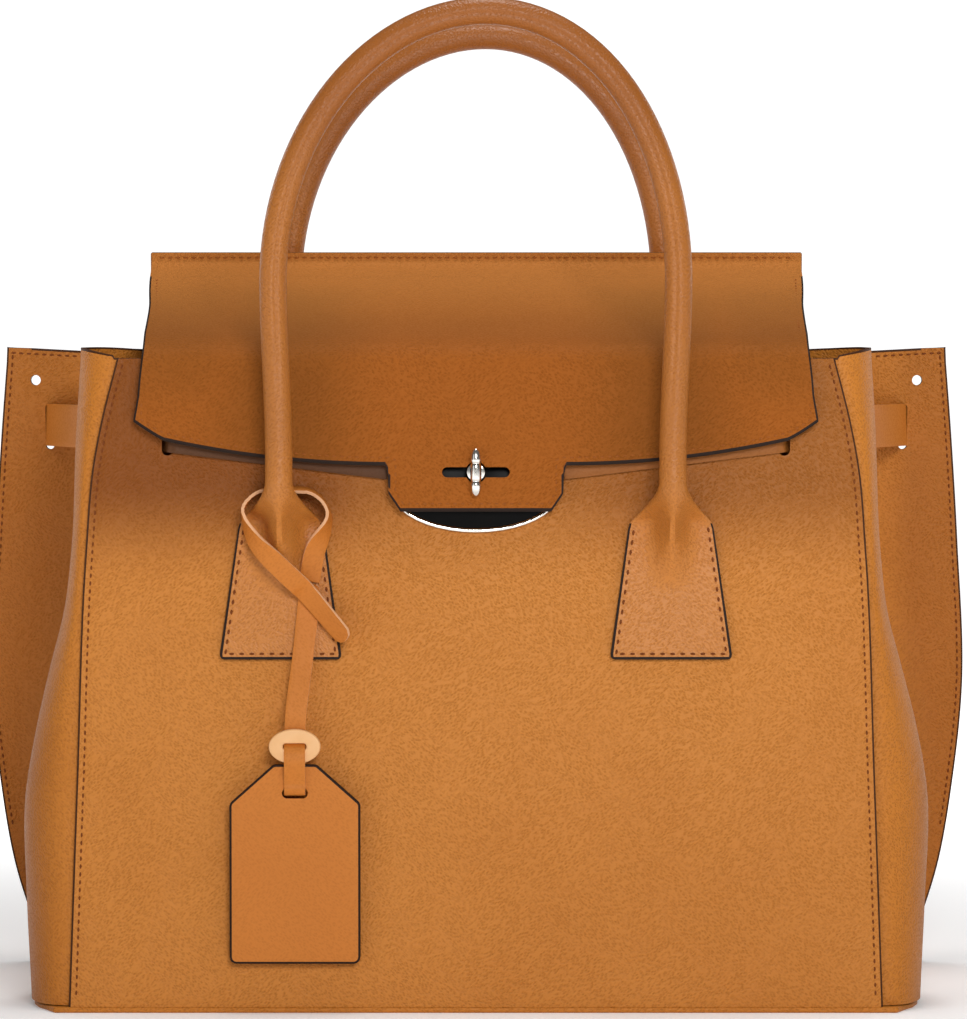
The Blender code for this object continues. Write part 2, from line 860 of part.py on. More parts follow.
def turned(bm, profile, sides, place, axis="Y"):
    """Solid of revolution about an axis through a place, from (distance along, radius) pairs."""
    rings = []
    for along, radius in profile:
        ring = []
        for i in range(sides):
            angle = 2 * math.pi * i / sides
            u = radius * math.cos(angle)
            v = radius * math.sin(angle)
            spot = (u, along, v) if axis == "Y" else (u, v, along)
            ring.append(Vector(place) + Vector(spot))
        rings.append(ring)
    loft(bm, rings)


def lock_front():
    """Depth of the panel's outer face at the lock."""
    return front_face(lock_height)


def tab_front():
    """Depth of the tab's outer face at the lock."""
    return lock_front() - drop_stand_off - flap_thickness


def make_lock(steel, enamel, knob_pivot):
    """Oval plate in its rim, post with a collar, washer behind the panel, and the turning bar."""
    centre_z = lock_height - lock_plate_drop
    stretch = 1 / math.cos(front_lean)
    holder = (0.0, -base_depth / 2, 0.0)
    outer = ring_outline(lock_plate_half_width, lock_plate_half_height, 40)
    inner = ring_outline(lock_plate_half_width - lock_rim_width, lock_plate_half_height - lock_rim_width, 40)
    shrink = lock_rim_width + seat_gap
    face = ring_outline(lock_plate_half_width - shrink, lock_plate_half_height - shrink, 40)
    centre = centre_z * stretch
    bore = shifted(
        ring_outline(post_radius + post_hole_clear, post_radius + post_hole_clear, 16),
        0.0, lock_height * stretch,
    )
    for name, outline, holes, thick, material in (
        ("lock_rim", outer, [shifted(inner, 0.0, centre)], lock_rim_thickness, steel),
        ("lock_plate", face, [bore], lock_plate_thickness, enamel),
    ):
        item = make_plate(name, shifted(outline, 0.0, centre), holes, thick, material)
        item.data.transform(Matrix.Translation((0.0, -thick - seat_gap, 0.0)))
        item.location = holder
        item.rotation_euler.x = -front_lean
    washer = make_plate(
        "lock_back_plate",
        shifted(ring_outline(lock_back_radius, lock_back_radius, 20), 0.0, lock_height * stretch),
        [bore], lock_back_thickness, steel,
    )
    washer.data.transform(Matrix.Translation((0.0, panel_thickness + seat_gap, 0.0)))
    washer.location = holder
    washer.rotation_euler.x = -front_lean
    tail = lock_front() + panel_thickness + 2 * seat_gap + lock_back_thickness
    collar_back = lock_front() - drop_stand_off
    tip = tab_front() - seat_gap
    bm = bmesh.new()
    profile = [
        (tail, post_radius),
        (collar_back, post_radius),
        (collar_back, collar_radius),
        (tip, collar_radius),
    ]
    turned(bm, profile, 20, (0.0, 0.0, lock_height))
    finish("lock_post", bm, steel, smooth=True)
    bm = bmesh.new()
    half = knob_length / 2
    groove = knob_radius - knob_groove_depth
    profile = [
        (-half, knob_tip_radius),
        (-half + knob_tip_radius, blend(knob_tip_radius, knob_radius, knob_shoulder_share)),
        (-knob_groove_offset - 2 * knob_radius / 3, knob_radius),
        (-knob_groove_offset - knob_groove_half_width, knob_radius),
        (-knob_groove_offset, groove),
        (-knob_groove_offset + knob_groove_half_width, knob_radius),
    ]
    profile += [(-along, radius) for along, radius in reversed(profile)]
    turned(bm, profile, 16, knob_centre(), axis="Z")
    finish("lock_knob", bm, steel, smooth=True, parent=knob_pivot)


def knob_centre():
    return Vector((0.0, tab_front() - 2 * seat_gap - knob_radius, lock_height))


def make_side_strap(side, word, leather):
    """Side strap: sewn behind the wing, out through its slot, into the fold and out of the front slit."""
    level = strap_level
    rear = back_face(level) + seat_gap + strap_thickness / 2
    slot_x = wing_slot_x()
    inner = back_face(level) - panel_thickness - seat_gap - gusset_thickness
    front = front_face(level)
    skin = 2 * seat_gap + strap_thickness / 2
    lock_lift = seat_gap + lock_rim_thickness
    heading = Vector((strap_gusset_x - slot_x, strap_gusset_y - inner)).normalized()
    fold_in = Vector((strap_gusset_x, strap_gusset_y))
    leave = Vector((slot_x, inner)) + heading * 2 * strap_bend
    rear_up = (0.0, -back_slope, 1.0)
    front_up = (0.0, front_slope, 1.0)
    upright = (0.0, 0.0, 1.0)
    arrive = Vector((strap_slit_half, front + panel_thickness))
    approach = blend(fold_in, arrive, strap_approach_share)
    end_z = lock_height + strap_bend / 2
    plate_x = lock_plate_half_width + 2 * strap_bend

    def along_front(x, lift):
        """Centre of the strap on the front panel, sloping down to the lock."""
        z = blend(end_z, level, x / strap_slit_half)
        return (x, front_face(z) - skin - lift, z)

    spots = [
        ((strap_rear_end, rear, level), rear_up),
        (((strap_rear_end + slot_x) / 2, rear, level), rear_up),
        ((slot_x - strap_bend - strap_thickness, rear, level), rear_up),
        ((slot_x - seat_gap, back_face(level) - panel_thickness / 4, level), rear_up),
        ((slot_x, inner + gusset_thickness / 2, level), upright),
        ((leave.x, leave.y, level), upright),
        ((fold_in.x, fold_in.y, level), upright),
        ((approach.x, approach.y, level), upright),
        ((arrive.x, arrive.y - panel_thickness / 2, level), front_up),
        (along_front(strap_slit_half - strap_bend, 0.0), front_up),
        (along_front(strap_slit_half - 3 * strap_bend, 0.0), front_up),
        (along_front(blend(strap_slit_half, plate_x, strap_midway_share), 0.0), front_up),
        (along_front(plate_x, lock_lift / 3), front_up),
        (along_front(plate_x - 3 * strap_bend, lock_lift), front_up),
        (along_front(strap_lock_end, lock_lift), front_up),
    ]
    rows = through([tuple(place) + tuple(up) for place, up in spots], 3)
    centres = [row[:3] for row in rows]
    ups = [row[3:] for row in rows]
    halves = [strap_width / 2] * len(rows)
    strap = make_ribbon("side_strap_" + word, centres, ups, halves, strap_thickness, leather)
    if side < 0:
        strap.data.transform(Matrix.Scale(-1, 4, (1.0, 0.0, 0.0)))
        strap.data.flip_normals()


def handle_line(y):
    """Centre line of a handle from one hinge to the other, with the way it leans."""
    points = []
    low = handle_hinge_height
    for i in range(4):
        t = i / 4
        z = blend(low, handle_spring_height, t)
        points.append(Vector((-blend(handle_foot_half_span, handle_half_span, ease(t)), y, z)))
    for i in range(arch_steps + 1):
        angle = math.pi * (1 - i / arch_steps)
        rise = math.sin(angle)
        x = handle_half_span * math.cos(angle) + handle_lean * rise * rise
        points.append(Vector((x, y, handle_spring_height + handle_arch_height * rise)))
    for i in range(3, -1, -1):
        t = i / 4
        z = blend(low, handle_spring_height, t)
        points.append(Vector((blend(handle_foot_half_span, handle_half_span, ease(t)), y, z)))
    return points


def ball_ends(points, radius, inner):
    """Line with radii, closed in by a ball at each end down to an inner radius."""
    head = (points[0] - points[1]).normalized()
    tail = (points[-1] - points[-2]).normalized()
    lead = []
    reach = math.sqrt(radius ** 2 - inner ** 2)
    for i in range(3, 0, -1):
        drop = reach * math.sin(math.pi / 2 * i / 3)
        lead.append((drop, math.sqrt(radius ** 2 - drop ** 2)))
    line = [(points[0] + head * drop, size) for drop, size in lead]
    line += [(p, radius) for p in points]
    line += [(points[-1] + tail * drop, size) for drop, size in reversed(lead)]
    return line


def tube_rings(line, sides):
    """Rings square to a planar line that lies across the bag."""
    rings = []
    for i, (here, size) in enumerate(line):
        ahead = line[min(i + 1, len(line) - 1)][0]
        behind = line[max(i - 1, 0)][0]
        along = (ahead - behind).normalized()
        across = Vector((0.0, 1.0, 0.0))
        other = along.cross(across)
        ring = []
        for k in range(sides):
            angle = 2 * math.pi * (k + 0.5) / sides
            ring.append(here + (across * math.cos(angle) + other * math.sin(angle)) * size)
        rings.append(ring)
    return rings


def make_handle(word, y, leather, cord, parent):
    """Rolled handle: a leather tube round its own cord, with a ball at each hinge."""
    points = handle_line(y)
    bore = handle_core_radius + handle_wrap_gap
    outer = ball_ends(points, handle_radius, bore + handle_wrap_gap)
    inner = [(p, bore) for p, size in outer]
    bm = bmesh.new()
    skins = [loft(bm, tube_rings(line, tube_sides), closed_ends=False) for line in (outer, inner)]
    for end in (0, -1):
        out, bored = skins[0][end], skins[1][end]
        for i in range(tube_sides):
            bm.faces.new((out[i - 1], out[i], bored[i], bored[i - 1]))
    finish(word + "_handle_wrap", bm, leather, smooth=True, parent=parent)
    core_ball = handle_radius - handle_wrap_gap
    reach = math.sqrt(core_ball ** 2 - handle_core_radius ** 2)
    head = (points[0] - points[1]).normalized()
    tail = (points[-1] - points[-2]).normalized()
    tips = [
        (reach, handle_core_radius),
        (blend(reach, core_ball, core_tip_share), handle_core_radius / 2),
    ]
    line = [(points[0] + head * drop, size) for drop, size in reversed(tips)]
    line += [(p, handle_core_radius) for p in points]
    line += [(points[-1] + tail * drop, size) for drop, size in tips]
    bm = bmesh.new()
    loft(bm, tube_rings(line, core_sides))
    finish(word + "_handle_core", bm, cord, smooth=True, parent=parent)


def foot_section(z, face, outward, stand_off):
    """Cross-section of a foot at a height, as (x, y) points: patch, ridge and neck."""
    neck_share = ease((z - foot_shoulder_level) / (foot_neck_level - foot_shoulder_level))
    lift_share = ease((z - foot_ridge_level) / (foot_neck_level - foot_ridge_level))
    side = min(1.0, (z - foot_base_level) / (foot_shoulder_level - foot_base_level))
    half = blend(foot_base_half, foot_shoulder_half, side)
    half = blend(half, handle_radius, neck_share ** neck_power_share if neck_share > 0 else 0.0)
    ridge = 2 * handle_radius * lift_share
    start = seat_gap + max(0.0, stand_off - handle_radius - seat_gap) * lift_share ** stand_off_power_share
    front = []
    back = []
    for i in range(foot_columns):
        angle = math.pi * (i / (foot_columns - 1))
        share = -math.cos(angle)
        x = half * share
        bump = math.exp(-((x / (handle_radius * ridge_spread_share)) ** 2))
        patch = seat_gap + foot_thickness + (start - seat_gap + ridge - foot_thickness) * bump
        patch = max(patch, seat_gap + foot_thickness)
        tube_front = start + handle_radius + handle_radius * math.sin(angle)
        tube_back = start + handle_radius - handle_radius * math.sin(angle)
        front.append((x, blend(patch, tube_front, neck_share)))
        under = seat_gap + (start - seat_gap) * bump * min(1.0, lift_share * under_rise_share)
        under = min(under, patch - foot_thickness)
        back.append((x, blend(max(under, seat_gap), tube_back, neck_share)))
    ring = front + list(reversed(back[1:-1]))
    return [(x, face + outward * depth) for x, depth in ring]


def make_foot(name, x, face_at, outward, stand_off, leather):
    """Stitched foot: a patch whose ridge rises into a neck, with a cone that the tilted handle clears."""
    top = handle_hinge_height - handle_radius - seat_gap
    shoulder = top - handle_radius * math.tan(tilt_past_level)
    rings = []
    for row in range(foot_rows + 1):
        z = blend(foot_base_level, shoulder, row / foot_rows)
        ring = foot_section(z, face_at(z), outward, stand_off)
        rings.append([Vector((x + px, py, z)) for px, py in ring])
    middle = Vector((x, face_at(shoulder) + outward * stand_off, shoulder))
    rise = Vector((0.0, 0.0, top - shoulder))
    rings.append([middle + (p - middle) * foot_tip_share + rise for p in rings[-1]])
    bm = bmesh.new()
    loft(bm, rings)
    return finish(name, bm, leather, smooth=True)


def tag_outline():
    """Pentagonal tag with drawn-in shoulders."""
    half = tag_width / 2
    outline = [
        (half, tag_foot_level), (half, tag_shoulder_level), (tag_top_half, tag_top_level),
        (-tag_top_half, tag_top_level), (-half, tag_shoulder_level), (-half, tag_foot_level),
    ]
    radii = [tag_corner_radius] * len(outline)
    return rounded(outline, radii)


def strand_depth():
    """Depth of the hanging strand's centre where it lies on the tag."""
    front = tag_back - 2 * tag_ply_thickness - seat_gap
    return front - seat_gap - tag_strap_thickness / 2


def make_tag(leather, strap, peach, parent):
    """Two stitched plies, the toggle and the hanging strand."""
    slot = stadium(tag_strap_width / 2 + tag_slot_spare, tag_slot_height / 2)
    for name, back in (
        ("tag_back_ply", tag_back),
        ("tag_front_ply", tag_back - tag_ply_thickness - seat_gap),
    ):
        ply = make_plate(
            name, tag_outline(), [shifted(slot, 0.0, tag_slot_level)], tag_ply_thickness, leather
        )
        ply.data.transform(Matrix.Translation((tag_centre, back - tag_ply_thickness, 0.0)))
        ply.parent = parent
        ply.matrix_parent_inverse = parent.matrix_basis.inverted()
    deep = strand_depth()
    start_y = pivot_depth()
    back_end = tag_back + seat_gap
    spots = [
        (tag_pivot_x, start_y, tag_pivot_z + tag_strap_width / 2),
        (tag_pivot_x, start_y, tag_pivot_z),
    ]
    for x_share, y_share, z_share in (strand_high_shares, strand_low_shares):
        spots.append((
            blend(tag_pivot_x, tag_centre, x_share),
            blend(start_y, deep, y_share),
            blend(tag_pivot_z, toggle_level, z_share),
        ))
    spots += [
        (tag_centre, deep, toggle_level),
        (tag_centre, deep, blend(toggle_level, tag_slot_level, strand_flat_share)),
        (tag_centre, deep, tag_slot_level + tag_slot_height / 3),
        (tag_centre, blend(deep, tag_back, strand_slot_share), tag_slot_level),
        (tag_centre, back_end, tag_slot_level),
    ]
    rows = through(spots, 3)
    halves = []
    for row in rows:
        share = min(max((row[2] - tag_pivot_z) / (tag_strap_width / 2), 0.0), strand_tip_share)
        halves.append(tag_strap_width / 2 * math.sqrt(1 - share * share))
    across = [(1.0, 0.0, 0.0)] * len(rows)
    make_ribbon("tag_hanging_strand", rows, across, halves, tag_strap_thickness, strap, parent)
    bm = bmesh.new()
    ring = ring_outline(toggle_width / 2, toggle_height / 2, 28)
    slim = ring_outline(toggle_width / 2 - toggle_edge_radius, toggle_height / 2 - toggle_edge_radius, 28)
    half = toggle_thickness / 2
    layers = [
        (-half, slim), (-half + toggle_edge_radius, ring), (half - toggle_edge_radius, ring), (half, slim),
    ]
    loft(bm, [[(tag_centre + x, deep + y, toggle_level + z) for x, z in outline] for y, outline in layers])
    toggle = finish("tag_toggle", bm, peach, smooth=True, parent=parent)
    box_half = tag_strap_width / 2 + seat_gap
    box_deep = tag_strap_thickness / 2 + seat_gap
    channel = make_cutter(
        "toggle_cutter",
        [(-box_half, -toggle_height), (box_half, -toggle_height), (box_half, toggle_height),
         (-box_half, toggle_height)],
        2 * box_deep, (tag_centre, deep, toggle_level),
    )
    cut(toggle, channel)


def pivot_depth():
    """Depth of the strand's centre at its pivot, in front of the foot's patch."""
    patch = front_face(tag_pivot_z) - seat_gap - foot_thickness
    return patch - 3 * seat_gap - tag_strap_thickness / 2


def make_tag_loop(strap):
    """Loop round the neck of the left foot: up on the right, behind, and crossing over to a free end."""
    half = tag_strap_width / 2
    rows = [((tag_pivot_x, pivot_depth(), tag_pivot_z + half + 4 * seat_gap), (1.0, 0.0, 0.0))]
    for across_share, depth_share, rise_share, direction in tag_loop_shares:
        z = tag_pivot_z + rise_share * tag_loop_height
        x = -handle_foot_half_span + across_share * tag_loop_width
        rows.append(((x, front_face(z) - depth_share * tag_loop_depth, z), direction))
    rows = through([tuple(place) + tuple(across) for place, across in rows], 4)
    centres = [row[:3] for row in rows]
    across = [row[3:] for row in rows]
    make_ribbon("tag_strap_loop", centres, across, [half] * len(rows), tag_strap_thickness, strap)


def make_zip_pocket(tape_cloth, steel, leather, parent):
    """Zip of the inner pocket on the back lining: tape, slider and its leather pull."""
    lining_in = panel_thickness + 2 * seat_gap + gusset_thickness + 2 * lining_gap + lining_thickness
    level = zip_tape_level
    low = level - zip_tape_height / 2
    stretch = 1 / math.cos(back_lean)
    outline = [
        (-zip_tape_width / 2, low * stretch), (zip_tape_width / 2, low * stretch),
        (zip_tape_width / 2, (low + zip_tape_height) * stretch),
        (-zip_tape_width / 2, (low + zip_tape_height) * stretch),
    ]
    tape = make_plate("zip_tape", outline, [], zip_tape_thickness, tape_cloth)
    tape.data.transform(Matrix.Translation((0.0, -lining_in - zip_tape_thickness, 0.0)))
    tape.location = (0.0, base_depth / 2, 0.0)
    tape.rotation_euler.x = back_lean
    face = lining_in + zip_tape_thickness + seat_gap
    teeth_low = (level - zip_teeth_height / 2) * stretch
    teeth_half = zip_tape_width / 2 - zip_slider_width / 2
    rail = [
        (-teeth_half, teeth_low), (teeth_half, teeth_low),
        (teeth_half, teeth_low + zip_teeth_height), (-teeth_half, teeth_low + zip_teeth_height),
    ]
    teeth = make_plate("zip_teeth", rail, [], zip_teeth_thickness, steel)
    teeth.data.transform(Matrix.Translation((0.0, -face - zip_teeth_thickness, 0.0)))
    teeth.location = tape.location
    teeth.rotation_euler.x = back_lean
    slider_face = face + zip_teeth_thickness + seat_gap
    start = -zip_travel / 2
    rest_z = level * stretch
    plan = rounded(
        [(start - zip_slider_width / 2, rest_z - zip_slider_height / 2),
         (start + zip_slider_width / 2, rest_z - zip_slider_height / 2),
         (start + zip_slider_width / 2, rest_z + zip_slider_height / 2),
         (start - zip_slider_width / 2, rest_z + zip_slider_height / 2)],
        [zip_slider_height / 4] * 4,
    )
    pull_top = rest_z - seat_gap
    pull_plan = rounded(
        [(start - zip_pull_width / 2, pull_top - zip_pull_length),
         (start + zip_pull_width / 2, pull_top - zip_pull_length),
         (start + zip_pull_width / 2, pull_top), (start - zip_pull_width / 2, pull_top)],
        [zip_pull_width / 3] * 4,
    )
    for name, outline, thick, depth, material in (
        ("zip_slider", plan, zip_slider_thickness, slider_face, steel),
        ("zip_pull", pull_plan, zip_pull_thickness, slider_face + zip_slider_thickness + seat_gap, leather),
    ):
        item = make_plate(name, outline, [], thick, material)
        item.data.transform(Matrix.Translation((0.0, -depth - thick, 0.0)))
        item.location = tape.location
        item.rotation_euler.x = back_lean
        item.parent = parent
        item.matrix_parent_inverse = parent.matrix_basis.inverted()


def build():
    clear_scene()
    leather = make_material("Grained tan cowhide", "BE7833", 0.5)
    flap_leather = make_material("Grained tan cowhide of the flap", "A8662B", 0.5)
    strap_leather = make_material("Smooth tan strap leather", "C4782E", 0.5)
    handle_leather = make_material("Rolled tan handle leather", "C07A38", 0.45)
    peach = make_material("Natural veg-tanned leather", "F0C07C", 0.55)
    steel = make_material("Polished nickel plate", "D8D8D6", 0.15, 1.0)
    enamel = make_material("Black lacquered plate", "14110F", 0.25)
    cloth = make_material("Brown woven lining", "5B4230", 0.85)
    board = make_material("Grey base board", "8C8880", 0.9)
    cord = make_material("Cotton handle cord", "D9CDB8", 0.95)

    make_base(leather, board)
    make_front_panel(leather)
    back = make_back_panel(leather)
    for side, word in ((-1, "left"), (1, "right")):
        hole, slot = make_wing_cutters(side, word)
        cut(back, hole)
        cut(back, slot)
        make_gusset(side, word, leather, hole, slot)
        make_side_strap(side, word, strap_leather)
    make_lining(cloth)
    make_hinge_strip(flap_leather)

    flap_pivot = make_pivot("flap_pivot", hinge_axis())
    make_rear_flap(flap_leather, cloth, flap_pivot)
    drop_pivot = make_pivot("flap_fold_pivot", fold_axis())
    slot = shifted(slot_outline(), 0.0, lock_height)
    make_drop(
        "flap_drop", drop_outline(), [slot], drop_stand_off + flap_thickness, flap_thickness,
        flap_leather, drop_pivot,
    )
    make_drop(
        "flap_drop_lining", drop_lining_outline(), [], drop_stand_off - seat_gap, flap_lining_thickness,
        cloth, drop_pivot,
    )

    make_lock(steel, enamel, make_pivot("knob_pivot", knob_centre()))

    for word, face_at, outward, stand_off in (
        ("front", front_face, -1, front_handle_stand_off),
        ("rear", back_face, 1, rear_handle_stand_off),
    ):
        y = face_at(handle_hinge_height) + outward * stand_off
        pivot = make_pivot(word + "_handle_pivot", (0.0, y, handle_hinge_height))
        make_handle(word, y, handle_leather, cord, pivot)
        for side, hand in ((-1, "left"), (1, "right")):
            make_foot(
                f"{word}_foot_{hand}", side * handle_foot_half_span, face_at, outward, stand_off,
                handle_leather,
            )

    tag_pivot = make_pivot("tag_pivot", (tag_pivot_x, pivot_depth(), tag_pivot_z))
    make_tag(strap_leather, strap_leather, peach, tag_pivot)
    make_tag_loop(strap_leather)

    zip_pivot = make_pivot("zip_slider_pivot", (-zip_travel / 2, back_face(zip_tape_level), zip_tape_level))
    make_zip_pocket(cloth, steel, leather, zip_pivot)


build()
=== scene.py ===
# %% [markdown]
# A structured handbag in grained tan cowhide. The real bag is cut from flat hides that are creased,
# sewn and edge-painted, so each leather part here is a sheet that is bent to its shape and then given
# its thickness. The rigid model carries the places and the joints, and most pieces ride on it.

import math

import bmesh
import bpy
from mathutils import Matrix, Vector, kdtree, noise


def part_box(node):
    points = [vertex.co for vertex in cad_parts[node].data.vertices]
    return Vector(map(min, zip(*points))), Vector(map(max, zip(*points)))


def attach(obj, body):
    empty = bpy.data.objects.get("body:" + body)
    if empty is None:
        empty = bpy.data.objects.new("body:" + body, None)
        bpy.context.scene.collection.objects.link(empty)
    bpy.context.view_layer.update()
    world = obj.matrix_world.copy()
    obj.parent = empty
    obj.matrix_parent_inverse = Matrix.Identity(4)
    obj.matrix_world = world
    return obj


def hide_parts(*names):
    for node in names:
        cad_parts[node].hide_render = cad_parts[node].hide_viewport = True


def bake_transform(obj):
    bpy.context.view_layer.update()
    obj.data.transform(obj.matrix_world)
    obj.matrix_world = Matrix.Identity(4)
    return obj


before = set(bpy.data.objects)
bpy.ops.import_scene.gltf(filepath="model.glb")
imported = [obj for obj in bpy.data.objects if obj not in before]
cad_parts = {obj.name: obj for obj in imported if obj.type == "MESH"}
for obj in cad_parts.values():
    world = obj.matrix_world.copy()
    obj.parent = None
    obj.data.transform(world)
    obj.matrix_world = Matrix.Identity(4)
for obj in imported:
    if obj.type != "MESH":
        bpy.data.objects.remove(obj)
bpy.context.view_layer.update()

# %% [markdown]
# The bag's own sizes come first, in metres. The front and back panels lean in towards the mouth. Their
# widths at each height are tables of shares, read through one smooth curve, because a maker also cuts
# such a curve from a few measured widths.

# %% Sizes of the body
BASE_WIDTH = 0.332
BASE_DEPTH = 0.156
FRONT_PANEL_WIDTH = 0.300
WING_WIDTH = 0.384
FRONT_HEIGHT = 0.241
WING_HEIGHT = 0.242
WING_CORNER_RISE = 0.003
SEAM_HEIGHT = 0.282
MOUTH_FRONT = 0.062
SEAM_DEPTH = 0.050
PANEL = 0.0020
GUSSET = 0.0018
GAP = 0.0003
FRONT_SLOPE = (BASE_DEPTH / 2 - MOUTH_FRONT) / FRONT_HEIGHT
BACK_SLOPE = (BASE_DEPTH / 2 - SEAM_DEPTH) / SEAM_HEIGHT
SEAM_AT_SHARES = (0.0, 0.35, 0.70, 0.84, 0.90, 1.0)
SEAM_WIDTH_SHARES = (1.0, 0.982, 0.962, 0.943, 0.925, 0.885)
FOLD_AT_SHARES = (0.0, 0.17, 0.33, 0.43, 0.52, 0.61, 0.70, 0.88, 1.0)
FOLD_WIDTH_SHARES = (1.0, 1.012, 1.015, 0.990, 0.958, 0.925, 0.910, 0.900, 0.890)
WING_AT_SHARES = (0.0, 0.17, 0.31, 0.45, 0.70, 0.87, 1.0)
WING_WIDTH_SHARES = (0.890, 0.956, 0.984, 1.0, 0.987, 0.972, 0.958)


def ease(t):
    """Smooth step from 0 to 1."""
    t = min(max(t, 0.0), 1.0)
    return t * t * (3 - 2 * t)


def blend(a, b, t):
    """Value part of the way from a to b."""
    return a + (b - a) * t


def hump(t):
    """Half wave that rises from 0 and falls back over the span 0 to 1."""
    return math.sin(math.pi * min(max(t, 0.0), 1.0))


def drift(x, y, z):
    """Slow random wave between about -1 and 1."""
    return noise.noise(Vector((x, y, z)))


def heading(points, i):
    """Direction of a line of points at one of them."""
    return (points[min(i + 1, len(points) - 1)] - points[max(i - 1, 0)]).normalized()


def on_line(points, t):
    """Place on a line of points, t counted in points from its start."""
    i = min(int(t), len(points) - 2)
    return points[i].lerp(points[i + 1], t - i)


def cubic(a, b, c, d, t):
    """Point on a cubic arc."""
    s = 1 - t
    return a * s ** 3 + b * 3 * t * s * s + c * 3 * t * t * s + d * t ** 3


def steps(a, b, count):
    """Even values from a to b."""
    return [blend(a, b, i / count) for i in range(count + 1)]


def lookup(share, ats, values):
    """Smooth curve through a table of shares."""
    last = len(ats) - 1
    share = min(max(share, ats[0]), ats[-1])
    i = min(max(sum(1 for a in ats if a <= share) - 1, 0), last - 1)

    def slope(k):
        low, high = max(k - 1, 0), min(k + 1, last)
        if low == k or high == k:
            return (values[high] - values[low]) / (ats[high] - ats[low])
        before, after = ats[k] - ats[k - 1], ats[k + 1] - ats[k]
        rise, fall = (values[k] - values[k - 1]) / before, (values[k + 1] - values[k]) / after
        return (rise * after + fall * before) / (before + after)

    span = ats[i + 1] - ats[i]
    t = (share - ats[i]) / span
    start = values[i] * (1 + 2 * t) * (1 - t) ** 2 + slope(i) * span * t * (1 - t) ** 2
    return start + values[i + 1] * t * t * (3 - 2 * t) + slope(i + 1) * span * t * t * (t - 1)


def front_face(z):
    """Depth of the front panel's face at a height."""
    return -BASE_DEPTH / 2 + FRONT_SLOPE * z


def back_face(z):
    """Depth of the back panel's face at a height."""
    return BASE_DEPTH / 2 - BACK_SLOPE * z


def seam_half(z):
    """Half width of the front panel at a height."""
    return FRONT_PANEL_WIDTH / 2 * lookup(z / FRONT_HEIGHT, SEAM_AT_SHARES, SEAM_WIDTH_SHARES)


def fold_half(z):
    """Half width over the side folds at a height."""
    return BASE_WIDTH / 2 * lookup(z / WING_HEIGHT, FOLD_AT_SHARES, FOLD_WIDTH_SHARES)


def wing_half(z):
    """Half width over the wings at a height."""
    return WING_WIDTH / 2 * lookup(z / WING_HEIGHT, WING_AT_SHARES, WING_WIDTH_SHARES)


print("front panel at the top:", round(2000 * seam_half(FRONT_HEIGHT)), "mm wide")

# %% [markdown]
# Colours are given as sRGB codes, as a maker would match them to a swatch, and one function turns them
# to the linear values that the shader adds light in. Small functions add a node with its links, mix two
# colours, map a value, add soft noise and emboss, so each material reads as a short recipe.

# %% Colour and node helpers
def linear(code):
    """Linear colour from an sRGB code such as #BE7833."""
    channels = [int(code[i:i + 2], 16) / 255 for i in (1, 3, 5)]
    return [c / 12.92 if c <= 0.04045 else ((c + 0.055) / 1.055) ** 2.4 for c in channels] + [1.0]


def add(tree, kind, inputs=None, **settings):
    """Adds a node: settings are its properties, inputs are values or the sockets that feed it."""
    node = tree.nodes.new(kind)
    for key, value in settings.items():
        setattr(node, key, value)
    for key, value in (inputs or {}).items():
        if isinstance(value, bpy.types.NodeSocket):
            tree.links.new(value, node.inputs[key])
        else:
            node.inputs[key].default_value = value
    return node


def start_material(name, roughness, metallic=0.0):
    """New material with its tree, its shader and the place on the object."""
    material = bpy.data.materials.new(name)
    material.use_nodes = True
    tree = material.node_tree
    shader = tree.nodes["Principled BSDF"]
    shader.inputs["Roughness"].default_value = roughness
    shader.inputs["Metallic"].default_value = metallic
    return material, tree, shader, add(tree, "ShaderNodeTexCoord").outputs["Object"]


def mix_colour(tree, share, first, second):
    """Colour between two, each a code or a socket."""
    ends = [linear(c) if isinstance(c, str) else c for c in (first, second)]
    return add(tree, "ShaderNodeMix", {0: share, 6: ends[0], 7: ends[1]}, data_type="RGBA").outputs[2]


def spread(tree, value, low, high, to_low, to_high, smooth=True):
    """Value mapped from one span to another."""
    return add(
        tree, "ShaderNodeMapRange",
        {"Value": value, "From Min": low, "From Max": high, "To Min": to_low, "To Max": to_high},
        interpolation_type="SMOOTHSTEP" if smooth else "LINEAR",
    ).outputs[0]


def calc(tree, kind, first, second=0.0):
    """One step of arithmetic on values or sockets."""
    return add(tree, "ShaderNodeMath", {0: first, 1: second}, operation=kind).outputs[0]


def cloud(tree, place, size, detail):
    """Soft noise with spots of a real size."""
    spots = add(tree, "ShaderNodeTexNoise", {"Vector": place, "Scale": 1 / size, "Detail": detail})
    return spots.outputs["Fac"]


def emboss(tree, shader, height, strength, distance):
    """Relief of a real depth."""
    bump = add(tree, "ShaderNodeBump", {"Height": height, "Strength": strength, "Distance": distance})
    tree.links.new(bump.outputs[0], shader.inputs["Normal"])


# %% [markdown]
# The hide is cowhide pressed with a fine pebble grain: small pits about 1.1 mm apart, a little drawn out
# along one diagonal, and along the other where the plate was turned. A Voronoi pattern in stretched
# object coordinates gives such pits on every side of the bag at one scale. Aniline dye gathers in the
# pits, so they are darker, and a wide soft noise stands for the uneven take-up of the dye.

# %% Grained cowhide
PIT_WIDTH = 0.00075
PIT_LENGTH = 0.0014
PIT_DYE = 0.42
TURN_AREA = 0.030
DYE_AREA = 0.080
PORE = 0.0006
RELIEF = 0.0004


